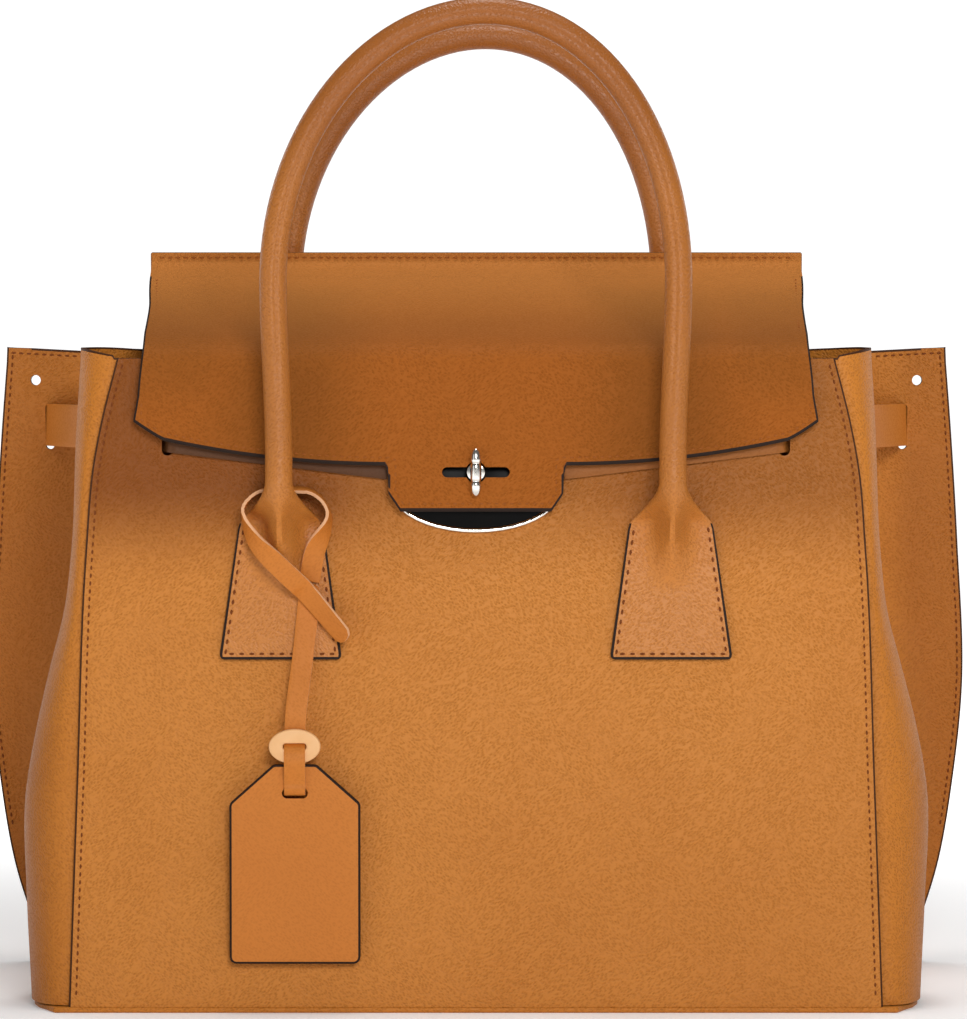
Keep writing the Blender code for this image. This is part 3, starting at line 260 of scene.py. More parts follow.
def pressed_grain(tree, place):
    """Pit pattern, 0 in a pit and about 1 on the ridges, in two diagonal directions."""
    turns = []
    for turn in (-0.72, 0.72):
        mapped = add(tree, "ShaderNodeMapping", {"Vector": place, "Rotation": (0.25, turn, 0.15)})
        scaled = add(
            tree, "ShaderNodeVectorMath",
            {0: mapped.outputs[0], 1: (1 / PIT_LENGTH, 1 / PIT_WIDTH, 1 / PIT_WIDTH)}, operation="MULTIPLY",
        )
        cell = add(
            tree, "ShaderNodeTexVoronoi",
            {"Vector": scaled.outputs[0], "Scale": 1.0, "Smoothness": 0.35, "Randomness": 0.9},
            feature="SMOOTH_F1",
        )
        turns.append(cell.outputs["Distance"])
    share = spread(tree, cloud(tree, place, TURN_AREA, 1.0), 0.44, 0.56, 0.0, 1.0)
    cells = add(tree, "ShaderNodeMix", {0: share, 2: turns[0], 3: turns[1]}, data_type="FLOAT").outputs[0]
    return spread(tree, cells, 0.10, 0.62, 0.0, 1.0, False)


def grained_leather(name, face, pit, patch, roughness, depth, specular, tint_from=None):
    """Pressed cowhide: colour of its face, in its pits and in its darker areas."""
    material, tree, shader, place = start_material(name, roughness)
    grain = pressed_grain(tree, place)
    uptake = spread(tree, cloud(tree, place, DYE_AREA, 3.0), 0.40, 0.65, 0.0, 0.30)
    dyed = mix_colour(tree, uptake, face, patch)
    pitted = mix_colour(tree, spread(tree, grain, 0.0, 1.0, PIT_DYE, 0.0, False), dyed, pit)
    if tint_from is not None:
        pitted = tint_from(tree, place, pitted)
    pores = {0: cloud(tree, place, PORE, 2.0), 1: 0.25, 2: grain}
    height = add(tree, "ShaderNodeMath", pores, operation="MULTIPLY_ADD").outputs[0]
    emboss(tree, shader, height, depth, RELIEF)
    rubbed = spread(tree, grain, 0.2, 1.0, roughness + 0.08, roughness - 0.04, False)
    tree.links.new(pitted, shader.inputs["Base Color"])
    tree.links.new(rubbed, shader.inputs["Roughness"])
    shader.inputs["Specular IOR Level"].default_value = specular
    return material


# %% [markdown]
# The flap is the same hide in a deeper dip. Painted shadows of the two handles darken it in two soft
# upright bands, painted shade darkens its upper corners, and a painted highlight pales its turned top
# edge. Painted shade darkens the front panel towards the flap's lower edge and the side straps under the
# flap, more so on the left, and it darkens both ends of the bag and the handles above their feet.

# %% Hides
# Painted shadows of the two handles on the flap: their distance from the middle and their width.
HANDLE_SHADOW_OFFSET = 0.070
HANDLE_SHADOW_WIDTH = 0.044
# Painted shadow of the flap on the front panel, rising from this height to the flap's edge.
FLAP_SHADOW_LOW = 0.1560
FLAP_SHADOW_HIGH = 0.1960


def painted_handle_shadows_and_highlight(tree, place, colour):
    """Paints the two handles' shadows as bands beside the middle, shade in the upper corners and a highlight
    along the top.
    """
    x, _, z = add(tree, "ShaderNodeSeparateXYZ", {0: place}).outputs
    side = calc(tree, "ABSOLUTE", x)
    near = calc(tree, "ABSOLUTE", calc(tree, "SUBTRACT", side, HANDLE_SHADOW_OFFSET))
    # Painted shadows of the handles in two bands, and painted shade in the flap's upper corners.
    band = spread(tree, near, 0.0, HANDLE_SHADOW_WIDTH, 0.50, 0.0)
    outer = spread(tree, side, 0.075, 0.105, 0.0, 0.34)
    corner = calc(tree, "MULTIPLY", outer, spread(tree, z, 0.215, 0.240, 0.0, 1.0))
    most = calc(tree, "MAXIMUM", band, corner)
    share = calc(tree, "MULTIPLY", most, spread(tree, z, 0.262, 0.274, 1.0, 0.0))
    # Painted highlight along the flap's turned top edge.
    painted_top_highlight = spread(tree, z, 0.238, 0.276, 0.0, 0.44)
    return mix_colour(tree, painted_top_highlight, mix_colour(tree, share, colour, "#6E4216"), "#CC8844")


def painted_flap_shadow(tree, place, colour):
    """Paints the flap's shadow on a hide, darkest towards the flap's lower edge and most on the left."""
    x, _, z = add(tree, "ShaderNodeSeparateXYZ", {0: place}).outputs
    height = spread(tree, z, FLAP_SHADOW_LOW, FLAP_SHADOW_HIGH, 0.0, 1.0)
    most = calc(tree, "MULTIPLY", height, spread(tree, x, -0.10, 0.10, 0.90, 0.62, False))
    share = calc(tree, "MULTIPLY", most, spread(tree, calc(tree, "ABSOLUTE", x), 0.02, 0.07, 0.6, 1.0))
    return mix_colour(tree, share, colour, "#7A3E08")


def shaded_sides(tree, place, colour):
    """Paints shade on a hide towards both ends of the bag."""
    x = add(tree, "ShaderNodeSeparateXYZ", {0: place}).outputs["X"]
    left = spread(tree, x, -0.145, -0.166, 0.0, 0.42)
    share = calc(tree, "MAXIMUM", left, spread(tree, x, 0.158, 0.174, 0.0, 0.40))
    return mix_colour(tree, share, colour, "#8A4B12")


def painted_strap_shadow(tree, place, colour):
    """Paints shadow on a strap where it lies in front, under the flap, most on the left."""
    x, y, _ = add(tree, "ShaderNodeSeparateXYZ", {0: place}).outputs
    ahead = spread(tree, y, -0.058, -0.062, 0.0, 1.0)
    share = calc(tree, "MULTIPLY", ahead, spread(tree, x, -0.03, 0.03, 0.90, 0.50, False))
    return mix_colour(tree, share, colour, "#38200F")


def painted_handle_shade(tree, place, colour):
    """Paints shade on a handle above its feet, and more over the top of its arch."""
    z = add(tree, "ShaderNodeSeparateXYZ", {0: place}).outputs["Z"]
    share = calc(tree, "ADD", spread(tree, z, 0.17, 0.22, 0.0, 0.50), spread(tree, z, 0.29, 0.34, 0.0, 0.42))
    return mix_colour(tree, share, colour, "#8F5220")


# Painted shade and highlight enter these hides through their tint functions: the flap's shadow on the front
# panel, shadows on the straps under the flap, shade at both ends of the bag, the handles' shadows, corner
# shade and a top highlight on the flap, and shade on the handles.
front_hide = grained_leather(
    "grained_tan_cowhide_front", "#C57D34", "#8E4F12", "#B66E28", 0.50, 0.60, 0.18, painted_flap_shadow
)
side_strap_hide = grained_leather(
    "smooth_strap_leather_side", "#C4752A", "#A86020", "#BA6C25", 0.55, 0.12, 0.25, painted_strap_shadow
)
body_hide = grained_leather(
    "grained_tan_cowhide", "#C4792C", "#8E4F12", "#B56C23", 0.50, 0.60, 0.20, shaded_sides
)
flap_hide = grained_leather(
    "grained_tan_cowhide_flap", "#9E581E", "#743C0E", "#94511A", 0.62, 0.60, 0.06, painted_handle_shadows_and_highlight
)
handle_hide = grained_leather(
    "rolled_handle_leather", "#C27A34", "#8E5018", "#B46E2C", 0.40, 0.40, 0.28, painted_handle_shade
)
strap_hide = grained_leather("smooth_strap_leather", "#C4752A", "#A86020", "#BA6C25", 0.55, 0.12, 0.25)
print("hides:", body_hide.name, flap_hide.name, handle_hide.name, strap_hide.name)

# %% [markdown]
# Cut edges are sealed with a dark acrylic edge paint, which dries to a low gloss with slight waves. The
# tag's strap is left with a raw, pale edge, and its toggle is natural vegetable-tanned leather.

# %% Edge paint, raw edge and natural leather
def plain_finish(name, colour, second, size, roughness, relief=0.0, specular=0.5):
    """Finish with a soft mottle between two colours at a real size, and some relief."""
    material, tree, shader, place = start_material(name, roughness)
    mottle = cloud(tree, place, size, 4.0)
    tree.links.new(mix_colour(tree, mottle, colour, second), shader.inputs["Base Color"])
    shader.inputs["Specular IOR Level"].default_value = specular
    if relief > 0:
        emboss(tree, shader, mottle, relief, size / 4)
    return material


edge_paint = plain_finish("acrylic_edge_paint", "#1C100A", "#2A180C", 0.0030, 0.55, 0.15, 0.15)
seam_paint = plain_finish("brown_edge_paint", "#4E2B13", "#3A1F0E", 0.0030, 0.6, 0.15, 0.15)
raw_edge = plain_finish("raw_leather_edge", "#E0AE84", "#CF9464", 0.0012, 0.7, 0.3)
natural_hide = plain_finish("natural_vegetable_tanned_leather", "#ECB982", "#E0A86C", 0.0060, 0.5, 0.08)
thread = plain_finish("waxed_linen_thread", "#6A3412", "#7E431B", 0.0008, 0.7, 0.3, 0.15)
tone_thread = plain_finish("tan_linen_thread", "#9C5A20", "#8A4A18", 0.0008, 0.6, 0.3, 0.15)
board_fibre = plain_finish("pressed_fibreboard", "#8C8880", "#7A756C", 0.0020, 0.9, 0.3)
cord_cotton = plain_finish("cotton_cord", "#D9CDB8", "#C8BA9F", 0.0015, 0.95, 0.4)

# %% [markdown]
# The lock is pressed brass with polished nickel plate, which mirrors the room with a slightly warm
# grey. Its plate behind the tab is drawn near-black with little gloss, painted shade and dark reflection
# round the knob. Fine swirl marks keep the metal from looking like glass.

# %% Metal, and the black plate with painted shade
def polished_metal(name, colour, roughness):
    """Plated metal with faint polishing marks."""
    material, tree, shader, place = start_material(name, roughness, 1.0)
    marks = spread(tree, cloud(tree, place, 0.0012, 5.0), 0.0, 1.0, roughness * 0.6, roughness * 1.5, False)
    shader.inputs["Base Color"].default_value = linear(colour)
    tree.links.new(marks, shader.inputs["Roughness"])
    return material


nickel = polished_metal("polished_nickel_plate", "#E4E0D8", 0.16)
# Near-black with little gloss: painted shade and dark reflection on the lock's plate.
black_shade_plate = plain_finish("black_lacquer", "#050404", "#090807", 0.0040, 0.35, 0.0, 0.06)

# %% [markdown]
# The lining is a plain-weave cotton. Two sine waves at the thread spacing, one across the other, give
# the over and under of the threads, which are drawn a little coarse, 0.9 mm apart, so that they show.

# %% Woven lining
THREAD_SPACING = 0.0009


def woven(name, colour, second, roughness):
    """Plain weave in object coordinates."""
    material, tree, shader, place = start_material(name, roughness)
    waves = [
        add(
            tree, "ShaderNodeTexWave", {"Vector": place, "Scale": 0.314 / THREAD_SPACING, "Distortion": 0.6},
            bands_direction=axis,
        ).outputs["Fac"]
        for axis in ("X", "Z")
    ]
    crossed = calc(tree, "MULTIPLY", waves[0], waves[1])
    tree.links.new(mix_colour(tree, crossed, second, colour), shader.inputs["Base Color"])
    emboss(tree, shader, crossed, 0.5, THREAD_SPACING / 3)
    shader.inputs["Sheen Weight"].default_value = 0.3
    return material


lining_cotton = woven("plain_weave_cotton", "#6B4A34", "#4A3222", 0.9)
zip_weave = woven("zip_tape_weave", "#5B4030", "#3E2A1E", 0.85)

# %% [markdown]
# Every leather part starts as a flat grid that one function bends to its place. Solidify then gives it
# the hide's thickness, with the cut edge in its own finish, and a small bevel rounds that edge. Slots
# are punched with a Boolean. The result is settled into a plain mesh, and most parts are then carried
# by a body of the rigid model.

# %% Sheet helpers
def settle(item, crease=38):
    """Applies a piece's modifiers and shades it smooth up to an angle."""
    depsgraph = bpy.context.evaluated_depsgraph_get()
    mesh = bpy.data.meshes.new_from_object(item.evaluated_get(depsgraph))
    item.modifiers.clear()
    item.data = mesh
    mesh.name = item.name
    mesh.shade_smooth()
    mesh.set_sharp_from_angle(angle=math.radians(crease))
    return item


def link(name, bm, materials):
    """Makes an object at the origin from a bmesh."""
    mesh = bpy.data.meshes.new(name)
    bm.to_mesh(mesh)
    bm.free()
    for material in materials:
        mesh.materials.append(material)
    item = bpy.data.objects.new(name, mesh)
    bpy.context.scene.collection.objects.link(item)
    return item


def carry(item, body, slot, *nodes):
    """Lets a piece ride a body, in place of the solids of its nodes. The slot is not used."""
    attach(item, body)
    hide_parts(*nodes)


def bent_grid(columns, rows, place, outward=None):
    """Grid whose point at shares (u, w) is moved to place(u, w), with faces turned to a direction."""
    bm = bmesh.new()
    bm.loops.layers.uv.new("UVMap")
    bmesh.ops.create_grid(bm, x_segments=columns, y_segments=rows, size=1.0, calc_uvs=True)
    for vert in bm.verts:
        vert.co = place((vert.co.x + 1) / 2, (vert.co.y + 1) / 2)
    bm.normal_update()
    if outward is not None and sum(f.normal.dot(Vector(outward)) * f.calc_area() for f in bm.faces) < 0:
        bmesh.ops.reverse_faces(bm, faces=bm.faces)
    return bm


def sheet(name, bm, materials, thickness, offset=-1.0, edge=0.0004, even=True):
    """Sheet with a hide's thickness, its edge in the last material, and a rounded rim."""
    item = link(name, bm, materials)
    shell = item.modifiers.new("Hide thickness", "SOLIDIFY")
    shell.thickness = thickness
    shell.offset = offset
    shell.use_even_offset = even
    shell.material_offset_rim = len(materials) - 1
    if edge > 0:
        round_edge(item, edge)
    return settle(item)


PAINT_LAP = 0.0007


def paint_edge(bm, lap=PAINT_LAP):
    """Gives the faces within a lap of a flat sheet's open edge its last material."""
    rim = [e for e in bm.edges if e.is_boundary]
    tree = kdtree.KDTree(4 * len(rim))
    for i, edge in enumerate(rim):
        for k in range(4):
            tree.insert(edge.verts[0].co.lerp(edge.verts[1].co, (k + 0.5) / 4), 4 * i + k)
    tree.balance()
    painted = [f for f in bm.faces if tree.find(f.calc_center_median())[2] < lap]
    for face in painted:
        face.material_index = 1
    print("painted faces:", len(painted))


def round_edge(item, width, segments=2, angle=50):
    """Bevel on the sharp edges of a piece."""
    soften = item.modifiers.new("Worn edge", "BEVEL")
    soften.width = width
    soften.segments = segments
    soften.limit_method = "ANGLE"
    soften.angle_limit = math.radians(angle)
    return item


def stadium(half_x, half_z, parts=8):
    """Outline of a slot with round ends, in x and z."""
    radius = min(half_x, half_z)
    found = []
    for i in range(4 * parts):
        angle = 2 * math.pi * (i + 0.5) / (4 * parts)
        x = radius * math.cos(angle) + math.copysign(half_x - radius, math.cos(angle))
        z = radius * math.sin(angle) + math.copysign(half_z - radius, math.sin(angle))
        found.append((x, z))
    return found


def raise_faces(bm, faces, depth):
    """Extrudes flat faces along Y, with the new faces turned outward."""
    grown = bmesh.ops.extrude_face_region(bm, geom=faces)
    moved = [v for v in grown["geom"] if isinstance(v, bmesh.types.BMVert)]
    bmesh.ops.translate(bm, verts=moved, vec=(0.0, depth, 0.0))
    bmesh.ops.recalc_face_normals(bm, faces=bm.faces)


def punch(item, outline, place, depth, turn=0.0):
    """Cuts an outline through a piece along Y, turned about Z, and settles it."""
    bm = bmesh.new()
    raise_faces(bm, [bm.faces.new([bm.verts.new((x, -depth / 2, z)) for x, z in outline])], depth)
    bmesh.ops.transform(bm, matrix=Matrix.Translation(place) @ Matrix.Rotation(turn, 4, "Z"), verts=bm.verts)
    cutter = link("punch", bm, [item.data.materials[-1]])
    for face in cutter.data.polygons:
        face.material_index = 0
    hole = item.modifiers.new("Punched hole", "BOOLEAN")
    hole.operation = "DIFFERENCE"
    hole.solver = "EXACT"
    hole.material_mode = "TRANSFER"
    hole.object = cutter
    settle(item)
    bpy.data.objects.remove(cutter)
    return item


# %% [markdown]
# Thread is real geometry: each stitch is a small stretched bead that sinks into the hide at both ends.
# The saddle stitch of the seams is about 3 mm long with a short gap, and the edges of the flap carry a
# finer one.

# %% Stitches
def along(points, step):
    """Places at an even step along a polyline of (point, normal), as (point, tangent, normal)."""
    found = []
    carried = step / 2
    for (a, n), (b, m) in zip(points, points[1:]):
        run = b - a
        length = run.length
        while carried < length:
            t = carried / length
            found.append((a + run * t, run.normalized(), (n * (1 - t) + m * t).normalized()))
            carried += step
        carried -= length
    return found


def sew(name, runs, body, material=thread, pitch=0.0034, share=0.66, width=0.00085, sink=0.1):
    """Rows of stitches along runs of (point, normal), all in one piece that rides a body."""
    bm = bmesh.new()
    spots = [spot for run in runs for spot in along(run, pitch)]
    size = Matrix.Diagonal((pitch * share / 2, width / 2, width * 0.42, 1.0))
    for place, tangent, normal in spots:
        side = normal.cross(tangent).normalized()
        up = tangent.cross(side)
        turn = Matrix((tangent, side, up)).transposed().to_4x4()
        lift = Matrix.Translation(place + up * width * sink)
        bmesh.ops.create_uvsphere(bm, u_segments=6, v_segments=5, radius=1.0, matrix=lift @ turn @ size)
    item = link(name, bm, [material])
    item.data.shade_smooth()
    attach(item, body)
    print(name, len(spots), "stitches")


def both_sides(row, depth_at, facing):
    """Runs of (point, normal) along a row of (x, z) and along its mirror image."""
    return [[(Vector((side * x, depth_at(side * x, z), z)), facing) for x, z in row] for side in (-1, 1)]


# %% [markdown]
# The front panel leans back and is slightly stuffed, so it swells about a millimetre between its seams
# and its lower edge rolls under to the base. A shallow channel runs where the thread pulls the hide down
# beside each side seam. The columns crowd together near the seams to hold that channel.

# %% Front panel
SEAM_INSET = 0.0026
FRONT_COLUMNS = 96
ROLL = 0.0040
SWELL = 0.0014
SWELL_TOP = 0.178
SWELL_RIPPLE = 0.0005
LOCK_HEIGHT = 0.1990
STRAP_LEVEL = 0.2145
STRAP_WIDTH = 0.0165
STRAP_SLIT_HALF = 0.114
STRAP_SLIT_WIDTH = 0.0042
CHANNEL = 0.00035
CHANNEL_WIDTH = 0.0009
SLIT_AIR = 0.00125


def roll_in(z):
    """How far the lower edge of a panel rolls under to the base."""
    return ROLL - math.sqrt(ROLL ** 2 - max(ROLL - z, 0.0) ** 2)


def swell(x, z):
    """How far the filled panel stands out from its flat plane."""
    across = max(0.0, 1 - (x / (seam_half(z) - 0.004)) ** 2) ** 0.8
    return across * hump(z / SWELL_TOP) ** 0.9 * (SWELL + drift(x * 14, 3.1, z * 11) * SWELL_RIPPLE)


def front_skin(x, z):
    """Depth of the front panel's skin."""
    return front_face(z) - swell(x, z)


def crowd(u, share=0.10, portion=0.28):
    """Share across a panel, with points crowded into both margins."""
    s = min(u, 1 - u)
    t = s / portion * share if s < portion else share + (s - portion) / (0.5 - portion) * (0.5 - share)
    return t if u <= 0.5 else 1 - t


def place_front(u, w):
    z = FRONT_HEIGHT * w
    half = seam_half(z)
    x = half * (2 * crowd(u) - 1)
    if round(min(u, 1 - u) * FRONT_COLUMNS) == 1:
        x = math.copysign(half - PAINT_LAP, x)
    to_edge = half - abs(x)
    channel = CHANNEL * math.exp(-((to_edge - SEAM_INSET) / CHANNEL_WIDTH) ** 2)
    return Vector((x, front_skin(x, z) + channel + roll_in(z) * 0.8, z))


bm = bent_grid(FRONT_COLUMNS, 110, place_front, (0, -1, 0))
paint_edge(bm)
front = sheet("front_panel_leather", bm, [front_hide, seam_paint], PANEL, -1.0, 0.0005)
for side in (-1, 1):
    spot = (side * STRAP_SLIT_HALF, front_face(STRAP_LEVEL), STRAP_LEVEL)
    punch(front, stadium(STRAP_SLIT_WIDTH / 2, STRAP_WIDTH / 2 + SLIT_AIR), spot, 0.016)
carry(front, "bag_body", "leather", "front_panel")
print("front panel:", len(front.data.polygons), "faces")

# %% [markdown]
# Each gusset is one hide: a flange behind the front seam, a soft round fold, a valley, and a flat wing
# that lies on the back panel. At each height its plan is three cubic arcs, so the fold opens out
# towards the base as the real pleat does.

# %% Gussets
SEAM_FLANGE = 0.008
SEAM_TURN = 0.001
FOLD_DEPTH_TOP = 0.018
FOLD_DEPTH_BASE = 0.028
FOLD_RISE = 0.003
VALLEY_HALF = 0.110
WING_FLAT_TOP = 0.024
WING_FLAT_BASE = 0.002
ROUND_SHARE = 0.55
HOLE_INSET = 0.011
HOLE_DROP = 0.010
HOLE_RADIUS = 0.0020
WING_SLOT_INSET = 0.018
WING_SLOT_WIDTH = 0.0034
WING_SLOT_SHIFT = 0.0008
SLOT_AIR = 0.0007
GUSSET_SLIT_WIDTH = 0.0034
SLOT_LEVEL = STRAP_LEVEL - SLOT_AIR
FLAP_HALF = 0.1275
BASE_THICKNESS = 0.0022
STRAP_GUSSET_X = 0.1345
STRAP_GUSSET_Y = -0.0245
GUSSET_SLACK = 0.0016
GUSSET_COLUMNS = 105
GUSSET_ROWS = 80


def corner(a, b, t):
    """Rounded corner that leaves a along X and comes to b along Y."""
    leaving = Vector((blend(a.x, b.x, ROUND_SHARE), a.y))
    return cubic(a, leaving, Vector((b.x, blend(b.y, a.y, ROUND_SHARE))), b, t)


def gusset_spot(s, z):
    """Point of the right gusset's plan: s runs 0-1 flange, 1-6 fold, 6-13 valley, 13-20 wing, 20-21 edge."""
    front_y = front_face(z) + PANEL + GAP + GUSSET / 2
    back_y = back_face(z) - PANEL - GAP - GUSSET / 2
    tuck = ease(z / WING_HEIGHT)
    seam = Vector((seam_half(z) + SEAM_TURN, front_y))
    fold_x = fold_half(z) - GUSSET / 2
    fold = Vector((fold_x, front_y + blend(FOLD_DEPTH_BASE, FOLD_DEPTH_TOP, tuck)))
    valley = Vector((blend(fold_half(0) - GUSSET / 2, VALLEY_HALF, tuck), 0.0))
    wing = Vector((wing_half(z) - blend(WING_FLAT_BASE, WING_FLAT_TOP, tuck), back_y))
    if s <= 1:
        return Vector((seam_half(z) - SEAM_FLANGE, front_y)).lerp(seam, s)
    if s <= 6:
        return corner(seam, fold, (s - 1) / 5)
    if s <= 13:
        halfway = fold.y / 2
        return cubic(fold, Vector((fold.x, halfway)), Vector((valley.x, halfway)), valley, (s - 6) / 7)
    if s <= 20:
        return corner(wing, valley, (20 - s) / 7)
    return wing.lerp(Vector((wing_half(z), back_y)), s - 20)


def wing_top(x):
    """Height of a wing's top edge, which rises to its outer corner."""
    rise = (abs(x) - FLAP_HALF) / (wing_half(WING_HEIGHT) - FLAP_HALF)
    return WING_HEIGHT + WING_CORNER_RISE * min(max(rise, 0.0), 1.0)


def gusset_top(s):
    """Height of a gusset's top edge along its plan."""
    if s <= 1:
        return FRONT_HEIGHT
    if s <= 13:
        return WING_HEIGHT + FOLD_RISE * math.sin(math.pi * (s - 1) / 12)
    return blend(WING_HEIGHT, wing_top(gusset_spot(s, WING_HEIGHT).x), ease((s - 13) / 6))


def strap_heading():
    """Direction in plan of a side strap between its slot and the fold."""
    slot_x = wing_half(STRAP_LEVEL) - WING_SLOT_INSET
    return math.atan2(slot_x - STRAP_GUSSET_X, back_face(STRAP_LEVEL) - STRAP_GUSSET_Y)


def cut_wing(item, side):
    """Punches the hole and the strap slot of a wing."""
    hole_z = WING_HEIGHT - HOLE_DROP
    hole_x = side * (wing_half(WING_HEIGHT) - HOLE_INSET)
    slot_x = side * (wing_half(STRAP_LEVEL) - WING_SLOT_INSET - WING_SLOT_SHIFT)
    slot = stadium(WING_SLOT_WIDTH / 2, STRAP_WIDTH / 2 + SLOT_AIR)
    punch(item, stadium(HOLE_RADIUS, HOLE_RADIUS, 6), (hole_x, back_face(hole_z) - PANEL, hole_z), 0.012)
    punch(item, slot, (slot_x, back_face(STRAP_LEVEL) - PANEL, SLOT_LEVEL), 0.012)


low = BASE_THICKNESS + GAP
slit = stadium(GUSSET_SLIT_WIDTH / 2, STRAP_WIDTH / 2 + SLIT_AIR)
for side, word in ((-1, "left"), (1, "right")):
    def place_gusset(u, w, side=side):
        s = 21 * u
        z = blend(low, gusset_top(s), w)
        if round(w * GUSSET_ROWS) == GUSSET_ROWS - 1:
            z = gusset_top(s) - PAINT_LAP
        if round(u * GUSSET_COLUMNS) == GUSSET_COLUMNS - 1:
            s = 21 - PAINT_LAP / blend(WING_FLAT_BASE, WING_FLAT_TOP, ease(z / WING_HEIGHT))
        spot = gusset_spot(s, min(z, WING_HEIGHT + FOLD_RISE))
        loose = GUSSET_SLACK * hump((s - 2) / 14) * hump(w) ** 0.5
        moved = drift(s * 0.33, side * 4.0, z * 16) * loose
        return Vector((side * (spot.x + moved * 0.6), spot.y + moved, z))

    bm = bent_grid(GUSSET_COLUMNS, GUSSET_ROWS, place_gusset, (side, 0, 0))
    paint_edge(bm)
    gusset = sheet("gusset_leather_" + word, bm, [body_hide, seam_paint], GUSSET, 0.0)
    cut_wing(gusset, side)
    punch(gusset, slit, (side * STRAP_GUSSET_X, STRAP_GUSSET_Y, STRAP_LEVEL), 0.016, -side * strap_heading())
    carry(gusset, "bag_body", "leather", "gusset_" + word)
    print(gusset.name, len(gusset.data.polygons), "faces")

# %% [markdown]
# The back panel is one hide from wing to wing, and its middle stands higher where the flap is sewn on.
# It bows out a little less than the front.

# %% Back panel
WING_ROWS_SHARE = 0.86
INNER_SHARE = 0.68
BACK_BOW = 0.0011
BACK_RIPPLE = 0.0003


def back_skin(x, z):
    """Depth of the back panel's skin."""
    return back_face(z) + BACK_BOW * math.cos(math.pi / 2 * min(abs(x) / 0.16, 1.0)) * hump(z / 0.24)


def place_back(u, w):
    side = abs(2 * u - 1)
    inner = side <= INNER_SHARE + 1e-6
    out_share = max(0.0, (side - INNER_SHARE) / (1 - INNER_SHARE))
    top = WING_HEIGHT if inner else wing_top(blend(FLAP_HALF, wing_half(WING_HEIGHT), out_share))
    if w <= WING_ROWS_SHARE:
        z = blend(low, top, w / WING_ROWS_SHARE)
    else:
        z = blend(top, SEAM_HEIGHT, (w - WING_ROWS_SHARE) / (1 - WING_ROWS_SHARE))
    x = FLAP_HALF * side / INNER_SHARE
    if not inner:
        x = blend(FLAP_HALF, wing_half(min(z, WING_HEIGHT)), out_share)
    x = math.copysign(x, u - 0.5)
    bowed = max(back_skin(x, z) + drift(x * 12, 7.7, z * 12) * BACK_RIPPLE, back_face(z))
    return Vector((x, bowed - roll_in(z) * 0.6, z))


bm = bent_grid(100, 100, place_back, (0, 1, 0))
shares = bm.loops.layers.uv.active
spare = []
for face in bm.faces:
    centre = sum((loop[shares].uv for loop in face.loops), Vector((0.0, 0.0))) / len(face.loops)
    if abs(2 * centre.x - 1) > INNER_SHARE and centre.y > WING_ROWS_SHARE:
        spare.append(face)
bmesh.ops.delete(bm, geom=spare, context="FACES")
back = sheet("back_panel_leather", bm, [body_hide, seam_paint], PANEL, -1.0, 0.0005)
for side in (-1, 1):
    cut_wing(back, side)
carry(back, "bag_body", "leather", "back_panel")

# %% [markdown]
# Pieces whose solid already has the right form, such as the base, the tag and the lock, are dressed:
# a merged copy of the solid gets rounded edges, and the cut edge of a leather ply its dark paint.

# %% Dress a solid
def dress(node, body, slot, materials, width, segments=3, rim_axis=None, lap=0.0, bare=None):
    """Merged copy of a node's solid with rounded edges.

    Faces square to rim_axis take the last material, and with a lap so does a band of that width on its
    two faces, but not within a distance of a bare place given as (x, z, distance).
    """
    bm = bmesh.new()
    bm.from_mesh(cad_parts[node].data)
    bmesh.ops.remove_doubles(bm, verts=bm.verts, dist=1e-6)
    bmesh.ops.dissolve_limit(bm, angle_limit=math.radians(1), verts=bm.verts, edges=bm.edges)
    for face in bm.faces:
        rim = rim_axis is not None and abs(face.normal.dot(Vector(rim_axis))) < 0.5
        face.material_index = len(materials) - 1 if rim else 0
    if lap > 0:
        broad = [f for f in bm.faces if abs(f.normal.dot(Vector(rim_axis))) > 0.9]
        band = bmesh.ops.inset_region(bm, faces=broad, thickness=lap, use_even_offset=True)["faces"]
        for face in band:
            spot = face.calc_center_median()
            painted = math.hypot(spot.x - bare[0], spot.z - bare[1]) >= bare[2]
            face.material_index = len(materials) - 1 if painted else 0
    item = link(node + "_finish", bm, materials)
    round_edge(item, width, segments, 35)
    settle(item)
    carry(item, body, slot, node)


dress("base_panel", "bag_body", "leather", [body_hide, edge_paint], 0.0009)
dress("base_board", "bag_body", "base_fibreboard", [board_fibre], 0.0006, 2)

# %% [markdown]
# The lining is a soft cotton bag that hangs inside the leather. It is drawn a little loose, with long
# shallow folds that run up from the floor.

# %% Lining
LINING = 0.0006
LINING_GAP = 0.0005
BOARD = 0.0020
LINING_FLOOR = BASE_THICKNESS + BOARD + 2 * GAP + LINING
LINING_TOP = FRONT_HEIGHT - 0.006
LINING_SIDE = 0.0035
LINING_SLACK = 0.0010
LINING_CORNER_SHARE = 0.22
LINING_FRONT_TOP = 0.104


def lining_spot(t, z):
    """Right half of the lining's plan, t from the front corner round to the back corner."""
    front_y = front_face(z) + PANEL + GAP + GUSSET + 2 * LINING_GAP
    back_y = back_face(z) - PANEL - GAP - GUSSET - 2 * LINING_GAP
    tuck = ease(z / WING_HEIGHT)
    inset = GUSSET / 2 + LINING_SIDE
    valley = blend(fold_half(0), VALLEY_HALF, tuck) - inset
    front_x = blend(seam_half(0) - SEAM_FLANGE, LINING_FRONT_TOP, tuck)
    wing_start = wing_half(z) - blend(WING_FLAT_BASE, WING_FLAT_TOP, tuck)
    outer = blend(valley, wing_start - inset, LINING_CORNER_SHARE)
    middle = Vector((valley, 0.0))
    if t <= 0.5:
        return corner(Vector((front_x, front_y)), middle, 2 * t)
    return corner(Vector((outer, back_y)), middle, 2 - 2 * t)


